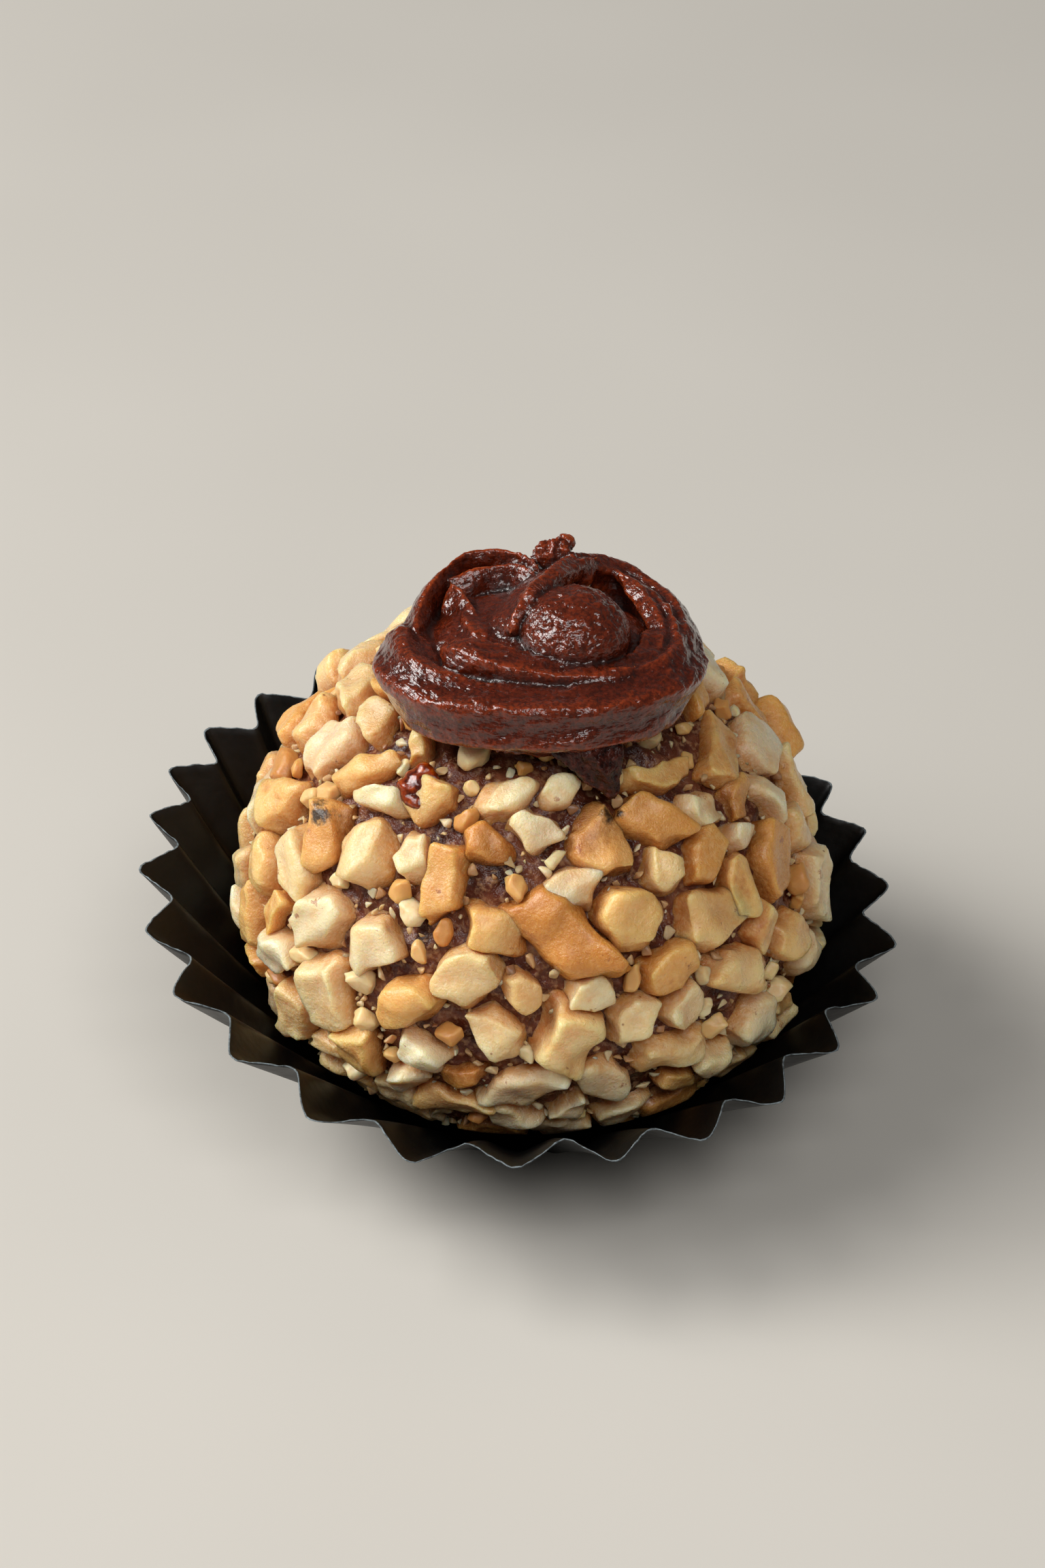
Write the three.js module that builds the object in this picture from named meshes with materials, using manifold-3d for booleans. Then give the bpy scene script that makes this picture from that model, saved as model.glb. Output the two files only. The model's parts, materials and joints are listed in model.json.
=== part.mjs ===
// A brigadeiro: a soft ball of milk fudge rolled in chopped roasted nuts, topped with a piped chocolate
// rosette and set in a fluted paper cup. Millimetres, +Z up. The origin is the middle of the cup's flat base,
// and -Y is the side that faces the viewer.
import * as THREE from "three";
import { ConvexGeometry } from "three/addons/geometries/ConvexGeometry.js";
import { LoftGeometry } from "three/addons/geometries/LoftGeometry.js";
import { mergeVertices } from "three/addons/utils/BufferGeometryUtils.js";
import Module from "manifold-3d";

const wasm = await Module();
wasm.setup();

const TURN = 2 * Math.PI;

// Clear space between neighbouring pieces.
const GAP = 0.3;

// The paper cup. Its wall is pushed open towards the viewer, so the rim is low and wide there.
const PAPER = 0.35;
const BASE_RADIUS = 9.2;
const RIM_RADIUS = 20.9;
const RIM_OFFSET = -0.8; // the rim's middle lies this far to the right of the base's
const RIM_HEIGHT = 12.0;
const RIM_RISE_TO_BACK = 0.12;
const RIM_RISE_TO_RIGHT = -0.053;
const WALL_BULGE_FRONT = 1.0; // 1 is a straight wall, and under 1 it bulges out near the base
const WALL_BULGE_BACK = 0.6;
const FLUTES = 28;
const PLEAT_START = -0.15;
// Cosine and sine that drift the pleats once, twice and three times round the cup.
const PLEAT_DRIFT = [
  [-3.92, -0.57],
  [0.11, 0.23],
  [-0.34, -0.31],
];
const FLUTE_DEPTH_AT_BASE = 0.5;
const FLUTE_DEPTH_AT_RIM = 2.1;
const RIM_WANDER = 0.25; // how far the rim wanders in and out
const CUP_LEVELS = [0, 0.12, 0.36, 0.66, 1];

// The ball of fudge: round above its middle, and settled to a lower, flat-bottomed shape below it.
const CORE_RADIUS = 15.6;
const CORE_DETAIL = 4;
const SETTLE = 0.8;
const BELOW_MIDDLE = 11.55;
const BALL_HEIGHT = PAPER + GAP + BELOW_MIDDLE;

// The chopped nuts that coat it: flat-sided chunks whose top is smaller than their foot.
const NUT_SHAPES = 12;
const NUT_TOP_LEAST = 0.62;
const NUT_TOP_MOST = 0.95;
const NUT_THICKNESS = [1.9, 2.9];
const NUT_LIFT = 0.1; // share of its thickness that a nut's middle stands above the fudge
const NUT_LEAN = 0.3;
const NUT_LONGEST = 4.7;
const NUT_SHORTEST = 2.3;
const NUT_TRIES = 9000;
const NUT_CROWDING = 0.86; // nuts keep this share of their two mean radii apart
const NUT_LOWEST = -0.6; // no nuts below this share of the ball's depth, where it meets the paper
const PRESSED_FROM = -0.15; // from this share of the depth down, the paper presses the nuts in
const PRESSED_BY = 0.8;

// The largest nuts of the front and the outline: longitude from the front, latitude, length, width, turn of
// the length, and how far it stands out where it does.
const FRONT_NUTS = [
  [8, 27, 6.7, 3.4, 139],
  [42, 23, 5.8, 3.4, 162],
  [19, 44, 4.9, 3.9, 48],
  [-42, 3, 5.0, 3.7, 109],
  [-12, 17, 4.9, 3.7, 25],
  [-48, 17, 4.9, 3.6, 52],
  [72, 49, 5.3, 3.1, 15],
  [-59, 23, 5.0, 3.3, 143],
  [23, 28, 4.7, 3.5, 145],
  [31, -3, 4.6, 3.5, 9],
  [0, -9, 6.1, 2.6, 40],
  [-42, 33, 4.1, 3.6, 84],
  [9, 5, 4.4, 3.4, 82],
  [-33, 18, 4.2, 3.1, 38],
  [31, 17, 4.0, 2.9, 13],
  [-7, 27, 3.8, 3.0, 178],
  [46, 35, 3.7, 2.8, 28],
  [44, 53, 5.4, 1.9, 163],
  [-21, 34, 4.7, 2.2, 92],
  [1, 47, 3.5, 3.0, 16],
  [-57, 47, 5.6, 1.8, 59],
  [52, 26, 3.5, 2.8, 77],
  [10, 35, 3.2, 3.1, 65],
  [-9, 52, 4.1, 2.4, 48],
  [35, 45, 3.8, 2.6, 137],
  [33, 36, 3.5, 2.7, 145],
  [33, 8, 3.6, 2.6, 44],
  [-20, -2, 3.7, 2.6, 144],
  [65, 40, 3.5, 2.5, 16],
  [-45, 44, 3.9, 2.2, 23],
  [-55, 32, 3.9, 2.2, 110],
  [50, 43, 3.4, 2.4, 153],
  [13, 15, 3.1, 2.4, 174],
  [-12, -8, 3.3, 2.2, 25],
  [-29, 38, 3.1, 2.2, 106],
  [-13, 42, 2.9, 2.2, 0],
  [124, 34, 4.2, 3.0, 100, 0.7],
  [116, 25, 4.6, 2.8, 20, 0.5],
  [-122, 34, 4.4, 3.0, 60, 0.5],
];

// The piped rosette, from the ball's middle: x, y and z along each strand, then its radius there.
const LOBES = 5; // points of the star nozzle
const LOBE_DEPTH = 0.12;
const STRAND_STEP = 1.32;
const OUTER_TURN = {
  twist: 0.8,
  line: [
    [-7.0, 1.2, 16.8, 0.9],
    [-7.3, -1.9, 16.9, 1.5],
    [-6.7, -5.0, 16.9, 1.8],
    [-4.5, -7.3, 16.8, 1.8],
    [-1.0, -8.2, 16.9, 1.8],
    [2.0, -8.1, 17.0, 1.8],
    [4.9, -6.6, 17.0, 1.8],
    [6.9, -4.2, 17.0, 1.8],
    [7.6, -1.2, 17.0, 1.6],
    [7.2, 1.7, 17.1, 1.4],
    [5.8, 3.9, 17.3, 1.2],
    [4.0, 4.9, 17.9, 1.1],
    [2.1, 4.0, 19.0, 0.9],
    [0.9, 1.3, 20.3, 0.7],
    [-0.3, -1.2, 20.7, 0.6],
    [-1.2, -2.9, 20.3, 0.6],
    [-1.7, -4.0, 19.6, 0.5],
  ],
};
const LEFT_PETAL = {
  twist: 0.4,
  line: [
    [-6.2, -3.8, 18.2, 0.8],
    [-6.0, -1.1, 18.2, 1.0],
    [-5.4, 2.1, 17.8, 1.1],
    [-4.0, 4.3, 17.6, 1.2],
    [-2.3, 4.9, 17.8, 1.2],
    [-0.8, 4.3, 18.2, 1.1],
    [1.0, 4.2, 18.6, 1.0],
  ],
};
const INNER_TURN = {
  twist: 0.5,
  line: [
    [-5.4, -4.3, 18.6, 1.0],
    [-2.9, -5.5, 18.2, 1.5],
    [0.0, -6.2, 18.0, 1.5],
    [2.8, -6.3, 18.0, 1.4],
    [5.0, -5.2, 17.9, 1.2],
    [6.0, -3.4, 18.1, 1.0],
    [6.1, -1.1, 18.3, 0.9],
  ],
};
const RIB = {
  twist: 0,
  line: [
    [-4.2, 1.4, 18.7, 0.7],
    [-4.0, -0.8, 18.8, 0.8],
    [-3.3, -2.9, 19.0, 1.0],
    [-2.1, -4.2, 18.5, 1.0],
  ],
};
const DRIP = {
  twist: 0,
  line: [
    [3.0, -7.4, 16.4, 1.5],
    [3.4, -8.4, 15.4, 1.4],
    [3.9, -9.0, 14.5, 1.2],
    [4.4, -9.4, 13.7, 0.8],
  ],
};
const DOME = { middle: [1.8, -2.6, 19.2], radii: [3.1, 2.8, 2.4] };
const PEAK = { middle: [0.4, 4.1, 19.7], radii: [1.1, 0.9, 1.0] };
const SEAT = { middle: [0.1, -1.7, 16.7], radii: [6.6, 5.6, 2.8] };
const BED = { middle: [0.2, -1.6, 16.2], radii: [7.4, 7.0, 6.0] };
const UNDER_ROSETTE = 17.4; // from the ball's middle to the underside of the turns and their bed
const BED_TOP = 18.7;

// A repeatable draw from 0 to 1, the same on every run.
let state = 7;
function draw() {
  state = (state * 1664525 + 1013904223) % 4294967296;
  return state / 4294967296;
}

// A geometry as a solid that can be joined and cut.
function solid(geometry) {
  const bare = new THREE.BufferGeometry().setAttribute("position", geometry.getAttribute("position"));
  bare.setIndex(geometry.index);
  const merged = mergeVertices(bare, 1e-4);
  const mesh = new wasm.Mesh({
    numProp: 3,
    vertProperties: merged.attributes.position.array,
    triVerts: new Uint32Array(merged.index.array),
  });
  return new wasm.Manifold(mesh);
}

function geometryOf(piece) {
  const mesh = piece.getMesh();
  const geometry = new THREE.BufferGeometry();
  geometry.setAttribute("position", new THREE.BufferAttribute(mesh.vertProperties, 3));
  geometry.setIndex(new THREE.BufferAttribute(mesh.triVerts, 1));
  geometry.computeVertexNormals();
  return geometry;
}

function ellipsoid(middle, radii, detail) {
  const geometry = new THREE.IcosahedronGeometry(1, detail);
  geometry.scale(...radii);
  geometry.translate(...middle);
  return solid(geometry);
}

function ball(radius, detail = 5) {
  return ellipsoid([0, 0, 0], [radius, radius, radius], detail);
}

function named(name, geometry, color, roughness) {
  const material = new THREE.MeshStandardMaterial({ color, roughness, metalness: 0 });
  const mesh = new THREE.Mesh(geometry, material);
  mesh.name = name;
  return mesh;
}

// How the pleats' spacing drifts round the cup: wider at the front than at the back.
function pleatDrift(angle) {
  const waves = PLEAT_DRIFT.map(([cosine, sine], i) => {
    const turned = (i + 1) * angle;
    return cosine * Math.cos(turned) + sine * Math.sin(turned);
  });
  return waves.reduce((total, wave) => total + wave, PLEAT_START);
}

// The angle round the cup at which the pleats have gone through a given phase.
function pleatAngle(phase) {
  let angle = phase / FLUTES;
  for (let i = 0; i < 30; i++) {
    angle = (phase - pleatDrift(angle)) / FLUTES;
  }
  return angle;
}

// The cup's wall at a share of its height and a phase of its pleats, which deepen towards the rim.
function wallPoint(share, phase, inset) {
  const angle = pleatAngle(phase);
  const wander = Math.sin(3 * angle + 0.8) + 0.6 * Math.sin(7 * angle + 2.1);
  const bulge = THREE.MathUtils.lerp(WALL_BULGE_BACK, WALL_BULGE_FRONT, (1 - Math.sin(angle)) / 2);
  const rim = RIM_RADIUS + RIM_OFFSET * Math.cos(angle) + RIM_WANDER * wander;
  const depth = THREE.MathUtils.lerp(FLUTE_DEPTH_AT_BASE, FLUTE_DEPTH_AT_RIM, share);
  const mean = THREE.MathUtils.lerp(BASE_RADIUS, rim, share ** bulge);
  const radius = mean + (depth / 2) * Math.cos(phase) - inset;
  const x = radius * Math.cos(angle);
  const y = radius * Math.sin(angle);
  const height = RIM_HEIGHT + RIM_RISE_TO_RIGHT * x + RIM_RISE_TO_BACK * y - RIM_WANDER * wander;
  return new THREE.Vector3(x, y, share * height);
}

function cupGeometry() {
  const around = FLUTES * 4;
  const ring = (share, inset, lift) =>
    Array.from({ length: around }, (_, i) => {
      const point = wallPoint(share, (i / 4) * TURN, inset);
      point.z += lift;
      return point;
    });
  const outside = CUP_LEVELS.map((share) => ring(share, 0, 0));
  const inside = CUP_LEVELS.map((share) => ring(share, PAPER, share === 0 ? PAPER : 0)).reverse();
  const middle = (height) => Array.from({ length: around }, () => new THREE.Vector3(0, 0, height));
  return new LoftGeometry([middle(0), ...outside, ...inside, middle(PAPER)]);
}

// The room inside the cup, clear of its wall, and open upwards.
function roomInCup() {
  const around = FLUTES * 4;
  const ring = (share, lift) =>
    Array.from({ length: around }, (_, i) => {
      const point = wallPoint(share, (i / 4) * TURN, PAPER + 1.4 * GAP);
      point.z += lift;
      return point;
    });
  const walls = CUP_LEVELS.map((share) => ring(share, share === 0 ? PAPER + GAP : 0));
  return solid(new LoftGeometry([...walls, ring(1, 4 * RIM_HEIGHT)], { capStart: true, capEnd: true }));
}

// The corners of a chopped nut in a box from -1 to 1: a ring of four to six at its foot, and one at its top.
function nutCorners(_, shape) {
  const sides = 4 + (shape % 3);
  const reach = 0.88 / Math.cos(Math.PI / sides);
  const corners = [];
  for (let i = 0; i < sides; i++) {
    const angle = ((i + 0.5 + 0.5 * (draw() - 0.5)) / sides) * TURN;
    const foot = reach * (0.9 + 0.15 * draw());
    const top = foot * THREE.MathUtils.lerp(NUT_TOP_LEAST, NUT_TOP_MOST, draw());
    const height = 0.55 + 0.45 * draw();
    corners.push(new THREE.Vector3(foot * Math.cos(angle), foot * Math.sin(angle), -0.8));
    corners.push(new THREE.Vector3(top * Math.cos(angle), top * Math.sin(angle), height));
  }
  return corners;
}

function directionAt(longitude, latitude) {
  const level = Math.cos(latitude);
  return new THREE.Vector3(level * Math.sin(longitude), -level * Math.cos(longitude), Math.sin(latitude));
}

// Whether a nut at that direction would meet the rosette's seat or drip, or the paper under the ball.
function isBare(direction, reach) {
  const at = direction.clone().multiplyScalar(CORE_RADIUS);
  const acrossSeat = (at.x - SEAT.middle[0]) / (SEAT.radii[0] + reach);
  const alongSeat = (at.y - SEAT.middle[1]) / (SEAT.radii[1] + reach);
  const underSeat = at.z > 0 && Math.hypot(acrossSeat, alongSeat) < 1;
  const underDrip = DRIP.line.some(
    ([x, y, z, radius]) => at.distanceTo(new THREE.Vector3(x, y, z)) < radius + reach + 0.6,
  );
  return underSeat || underDrip || direction.z < NUT_LOWEST;
}

// Every nut: the largest ones of the front first, then ever smaller ones wherever there is room.
function nutPlaces() {
  const places = [];
  const add = (direction, long, wide, turn, raised = 0) => {
    const thick = THREE.MathUtils.lerp(...NUT_THICKNESS, draw());
    const lean = [draw() - 0.5, draw() - 0.5];
    places.push({ direction, long, wide, thick, turn, raised, reach: (long + wide) / 4, lean });
  };
  for (const [longitude, latitude, long, wide, turn, raised] of FRONT_NUTS) {
    const direction = directionAt(THREE.MathUtils.degToRad(longitude), THREE.MathUtils.degToRad(latitude));
    add(direction, long, wide, THREE.MathUtils.degToRad(turn), raised);
  }
  for (let i = 0; i < NUT_TRIES; i++) {
    const direction = directionAt(TURN * draw(), Math.asin(2 * draw() - 1));
    const long = THREE.MathUtils.lerp(NUT_LONGEST, NUT_SHORTEST, i / NUT_TRIES);
    const wide = long * (0.62 + 0.3 * draw());
    const turn = Math.PI * draw();
    const reach = (long + wide) / 4;
    const crowded = places.some(
      (other) => direction.distanceTo(other.direction) * CORE_RADIUS < NUT_CROWDING * (reach + other.reach),
    );
    if (!crowded && !isBare(direction, reach)) {
      add(direction, long, wide, turn);
    }
  }
  return places;
}

function nutSolid(corners, place) {
  const { direction, long, wide, thick, turn, raised, lean } = place;
  const east = new THREE.Vector3(0, 0, 1).cross(direction).normalize();
  const north = direction.clone().cross(east);
  const out = direction.clone().addScaledVector(east, NUT_LEAN * lean[0]);
  out.addScaledVector(north, NUT_LEAN * lean[1]).normalize();
  const along = east.multiplyScalar(Math.cos(turn)).addScaledVector(north, Math.sin(turn));
  along.addScaledVector(out, -along.dot(out)).normalize();
  const side = out.clone().cross(along);
  const pressed = PRESSED_BY * THREE.MathUtils.smoothstep(direction.z, NUT_LOWEST, PRESSED_FROM) - PRESSED_BY;
  const points = corners.map((corner) =>
    direction
      .clone()
      .multiplyScalar(CORE_RADIUS + NUT_LIFT * thick + raised + pressed)
      .addScaledVector(along, (corner.x * long) / 2)
      .addScaledVector(side, (corner.y * wide) / 2)
      .addScaledVector(out, (corner.z * thick) / 2),
  );
  return solid(new ConvexGeometry(points));
}

// The ball: the fudge with its nuts fused on, settled below its middle, and flat where it meets the paper.
function ballGeometry() {
  const shapes = Array.from({ length: NUT_SHAPES }, nutCorners);
  const nuts = nutPlaces().map((place, i) => nutSolid(shapes[i % NUT_SHAPES], place));
  const core = solid(new THREE.IcosahedronGeometry(CORE_RADIUS, CORE_DETAIL));
  const coated = wasm.Manifold.union([core, ...nuts]).warp((point) => {
    point[2] *= point[2] < 0 ? SETTLE : 1;
  });
  return geometryOf(coated.intersect(roomInCup().translate(0, 0, -BALL_HEIGHT)));
}

// A rope of chocolate from a star nozzle, along a line of points with a radius each.
function strand({ line, twist }) {
  const curve = new THREE.CatmullRomCurve3(line.map(([x, y, z]) => new THREE.Vector3(x, y, z)));
  const radii = new THREE.SplineCurve(line.map(([, , , radius], i) => new THREE.Vector2(i, radius)));
  const steps = Math.ceil(curve.getLength() / STRAND_STEP);
  const corners = LOBES * 2;
  const sections = Array.from({ length: steps + 1 }, (_, i) => {
    const share = i / steps;
    const tangent = curve.getTangent(share);
    const side = new THREE.Vector3(0, 0, 1).cross(tangent).normalize();
    const up = tangent.clone().cross(side);
    const radius = radii.getPoint(share).y;
    return Array.from({ length: corners }, (_, j) => {
      const angle = (j / corners) * TURN + twist * share * Math.PI;
      const reach = radius * (1 + (j % 2 ? -LOBE_DEPTH : LOBE_DEPTH));
      const point = curve.getPoint(share).addScaledVector(side, reach * Math.cos(angle));
      return point.addScaledVector(up, reach * Math.sin(angle));
    });
  });
  return solid(new LoftGeometry(sections, { capStart: true, capEnd: true }));
}

// The rosette: its turns and the bed between them lie on the nuts, and the seat reaches down to the fudge.
function rosetteGeometry() {
  const turns = [OUTER_TURN, LEFT_PETAL, INNER_TURN, RIB].map(strand);
  const dome = ellipsoid(DOME.middle, DOME.radii, 2);
  const peak = ellipsoid(PEAK.middle, PEAK.radii, 1);
  const bed = ellipsoid(BED.middle, BED.radii, 2).intersect(ball(BED_TOP, 3));
  const overNuts = wasm.Manifold.union([...turns, dome, peak, bed]).subtract(ball(UNDER_ROSETTE));
  const seat = wasm.Manifold.union([ellipsoid(SEAT.middle, SEAT.radii, 2), strand(DRIP)]);
  return geometryOf(overNuts.add(seat.subtract(ball(CORE_RADIUS + GAP, CORE_DETAIL))));
}

const sweet = new THREE.Group();
sweet.position.z = BALL_HEIGHT;
sweet.add(named("nut_ball", ballGeometry(), "#d9b47a", 0.45));
sweet.add(named("chocolate_rosette", rosetteGeometry(), "#4a2318", 0.3));

const brigadeiro = new THREE.Group();
brigadeiro.add(named("paper_cup", cupGeometry(), "#0e0d0c", 0.4));
brigadeiro.add(sweet);

export default brigadeiro;
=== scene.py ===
import math

import bmesh
import bpy
import numpy as np
from mathutils import Matrix, Vector, noise
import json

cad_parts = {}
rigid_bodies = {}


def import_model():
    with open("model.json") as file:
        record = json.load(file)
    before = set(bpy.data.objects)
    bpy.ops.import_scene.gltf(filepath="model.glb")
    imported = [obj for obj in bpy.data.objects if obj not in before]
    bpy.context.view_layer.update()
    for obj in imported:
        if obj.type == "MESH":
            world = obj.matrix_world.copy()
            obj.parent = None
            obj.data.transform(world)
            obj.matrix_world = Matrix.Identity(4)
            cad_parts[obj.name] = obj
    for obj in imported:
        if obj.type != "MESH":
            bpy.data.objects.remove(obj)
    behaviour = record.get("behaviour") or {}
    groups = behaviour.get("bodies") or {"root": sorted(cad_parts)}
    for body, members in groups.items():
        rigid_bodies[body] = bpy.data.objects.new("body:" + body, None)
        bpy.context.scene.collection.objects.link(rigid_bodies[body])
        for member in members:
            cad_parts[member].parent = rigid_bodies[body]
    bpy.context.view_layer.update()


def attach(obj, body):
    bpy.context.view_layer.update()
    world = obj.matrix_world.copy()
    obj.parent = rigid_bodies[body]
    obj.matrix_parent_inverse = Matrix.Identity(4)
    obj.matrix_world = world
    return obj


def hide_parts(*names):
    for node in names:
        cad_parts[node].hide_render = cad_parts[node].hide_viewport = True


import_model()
scene = bpy.context.scene

# --------------------------------------------------------------------------------------------------
# The paper cup. One round sheet of thin black greaseproof paper, pressed into pleats in a die. The
# wall is pushed open towards the viewer, and the sheet's cut edge shows its grey fibres all round,
# with a painted highlight: pale bluish grey where light catches the rim.
MM = 0.001
BASE_RADIUS = 9.2
RIM_RADIUS = 20.9
RIM_OFFSET = -0.8
RIM_HEIGHT = 12.0
RIM_RISE_TO_BACK = 0.12
RIM_RISE_TO_RIGHT = -0.053
WALL_BULGE_FRONT = 1.0
WALL_BULGE_BACK = 0.6
FLUTES = 28
PLEAT_START = -0.15
PLEAT_DRIFT = [(-3.92, -0.57), (0.11, 0.23), (-0.34, -0.31)]  # cosines and sines round the cup
PLEAT_SHARPNESS = 0.86
PLEAT_UNEVENNESS = 0.22
FLUTE_DEPTH_AT_BASE = 0.5
FLUTE_DEPTH_AT_RIM = 2.1
RIM_WANDER = 0.25
STEPS_PER_FLUTE = 20
WALL_ROWS = 34
PAPER_OUTSIDE = 0.06
PAPER_INSIDE = 0.17
BASE_RINGS = [0.85, 0.6, 0.3, 0.08]
EDGE_ROUNDING = 0.03
CRUMPLE_SIZE = 3.1
CRUMPLE_DEPTH = 0.16
TORN_HEIGHT = 0.05
FIBRE_HEIGHT = 0.02
rng = np.random.RandomState(3)


def linear(colour):
    """A hex colour as linear red, green, blue and alpha."""
    parts = [int(colour[i : i + 2], 16) / 255 for i in (1, 3, 5)]
    return [c / 12.92 if c <= 0.04045 else ((c + 0.055) / 1.055) ** 2.4 for c in parts] + [1.0]


def add_node(tree, kind, inputs=None, **settings):
    """A node with its settings, and its inputs set to a value or linked from a socket."""
    made = tree.nodes.new(kind)
    for key, value in settings.items():
        setattr(made, key, value)
    for key, value in (inputs or {}).items():
        if isinstance(value, bpy.types.NodeSocket):
            tree.links.new(value, made.inputs[key])
        else:
            made.inputs[key].default_value = value
    return made


def new_material(name):
    """An empty material, its node tree and the object coordinates in it."""
    made = bpy.data.materials.new(name)
    made.use_nodes = True
    made.node_tree.nodes.clear()
    place = add_node(made.node_tree, "ShaderNodeTexCoord").outputs["Object"]
    return made, made.node_tree, place


def noise_at(tree, place, size_mm, detail=2.0, roughness=0.5):
    """A noise whose features are about size_mm across, from 0 to 1."""
    inputs = {
        "Vector": place,
        "Scale": 1 / (size_mm * MM),
        "Detail": detail,
        "Roughness": roughness,
    }
    return add_node(tree, "ShaderNodeTexNoise", inputs).outputs["Fac"]


def ramp(tree, value, *stops):
    """Colours or greys along a value: each stop is a position and a hex colour or a number."""
    made = add_node(tree, "ShaderNodeValToRGB", {"Fac": value})
    elements = made.color_ramp.elements
    while len(elements) < len(stops):
        elements.new(0.5)
    for element, (position, colour) in zip(elements, stops):
        element.position = position
        element.color = linear(colour) if isinstance(colour, str) else (colour, colour, colour, 1)
    return made.outputs["Color"]


def bump(tree, height, depth_mm, strength=1.0, normal=None):
    """A bump as deep as depth_mm where the height goes from 0 to 1."""
    inputs = {"Height": height, "Distance": depth_mm * MM, "Strength": strength}
    made = add_node(tree, "ShaderNodeBump", inputs)
    if normal is not None:
        tree.links.new(normal, made.inputs["Normal"])
    return made.outputs["Normal"]


def finish_material(tree, inputs):
    """The surface shader that ends a material."""
    shader = add_node(tree, "ShaderNodeBsdfPrincipled", inputs)
    add_node(tree, "ShaderNodeOutputMaterial", {"Surface": shader.outputs["BSDF"]})


def new_piece(name, points, faces, materials=()):
    """A smooth mesh object from points in millimetres."""
    mesh = bpy.data.meshes.new(name)
    mesh.from_pydata((np.asarray(points) * MM).tolist(), [], faces)
    for finish in materials:
        mesh.materials.append(finish)
    mesh.shade_smooth()
    made = bpy.data.objects.new(name, mesh)
    scene.collection.objects.link(made)
    return made


def tube_faces(rows, around):
    """Quads between rows of points, each row a ring."""
    return [
        (
            row * around + i,
            row * around + (i + 1) % around,
            (row + 1) * around + (i + 1) % around,
            (row + 1) * around + i,
        )
        for row in range(rows - 1)
        for i in range(around)
    ]


def lumps(points, size, seed, octaves=2):
    """Noise from about -1 to 1 at points in millimetres, with features of a size."""
    shift = Vector((17.3 * seed, -9.1 * seed, 5.7 * seed))
    return np.array([noise.fractal(Vector(p) / size + shift, 1.0, 2.0, octaves) for p in points])


def wall_angle(phase):
    """The angle round the cup where its pleats have gone through a phase."""
    angle = phase / FLUTES
    for _ in range(30):
        drift = PLEAT_START
        for times, (cosine, sine) in enumerate(PLEAT_DRIFT, 1):
            drift = drift + cosine * np.cos(times * angle) + sine * np.sin(times * angle)
        angle = (phase - drift) / FLUTES
    return angle


def wall_mean(share, angle):
    """The wall's mean radius at a share of its height."""
    wander = np.sin(3 * angle + 0.8) + 0.6 * np.sin(7 * angle + 2.1)
    bulge = WALL_BULGE_BACK + (WALL_BULGE_FRONT - WALL_BULGE_BACK) * (1 - np.sin(angle)) / 2
    rim = RIM_RADIUS + RIM_OFFSET * np.cos(angle) + RIM_WANDER * wander
    return BASE_RADIUS + (rim - BASE_RADIUS) * share**bulge, wander


def wall_row(share, inset, phase, angle):
    """A ring of the wall: rounded pleats that deepen towards the rim."""
    mean, wander = wall_mean(share, angle)
    depth = FLUTE_DEPTH_AT_BASE + (FLUTE_DEPTH_AT_RIM - FLUTE_DEPTH_AT_BASE) * share
    fold = np.arcsin(PLEAT_SHARPNESS * np.cos(phase)) / math.asin(PLEAT_SHARPNESS)
    uneven = np.abs(np.sin(2 * angle + 1) * np.sin(7 * angle))
    depth = depth * (1 - PLEAT_UNEVENNESS * uneven)
    radius = mean + depth / 2 * fold - inset
    x, y = radius * np.cos(angle), radius * np.sin(angle)
    height = RIM_HEIGHT + RIM_RISE_TO_RIGHT * x + RIM_RISE_TO_BACK * y - RIM_WANDER * wander
    return np.stack([x, y, share * height], 1)


around = FLUTES * STEPS_PER_FLUTE
phase = np.arange(around) / STEPS_PER_FLUTE * 2 * math.pi
angle = wall_angle(phase)
shares = np.linspace(0, 1, WALL_ROWS)
outside = [wall_row(share, PAPER_OUTSIDE, phase, angle) for share in shares]
inside = [wall_row(share, PAPER_INSIDE, phase, angle) for share in shares]
# At its foot the wall's inside comes down to the upper face of the base.
for row, share in zip(inside, shares):
    row[:, 2] += (PAPER_INSIDE - PAPER_OUTSIDE) * (1 - share) ** 8
under = [outside[0] * share for share in reversed(BASE_RINGS)]
floor_rows = [inside[0] * [share, share, 1] for share in BASE_RINGS]
edge = (outside[-1] + inside[-1]) / 2 + [0, 0, EDGE_ROUNDING]
rows = under + outside + [edge] + inside[::-1] + floor_rows
crumple = lumps(outside[-1], CRUMPLE_SIZE, 5) * CRUMPLE_DEPTH
for row in rows:
    share = np.clip(row[:, 2:3] / RIM_HEIGHT, 0, 1)
    row[:, :2] *= 1 + (crumple[:, None] * share) / RIM_RADIUS
rim_row = len(under) + WALL_ROWS - 1
fuzz = rng.uniform(-1, 1, (3, around))
for k, row in enumerate(rows[rim_row : rim_row + 3]):
    row[:, 2] += TORN_HEIGHT * fuzz[1] + FIBRE_HEIGHT * fuzz[k]
cup_points = np.concatenate(rows + [[[0, 0, 0]], [[0, 0, PAPER_INSIDE - PAPER_OUTSIDE]]])
cup_faces = tube_faces(len(rows), around)
last = (len(rows) - 1) * around
cup_faces += [(len(rows) * around, (i + 1) % around, i) for i in range(around)]
cup_faces += [(len(rows) * around + 1, last + i, last + (i + 1) % around) for i in range(around)]

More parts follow.
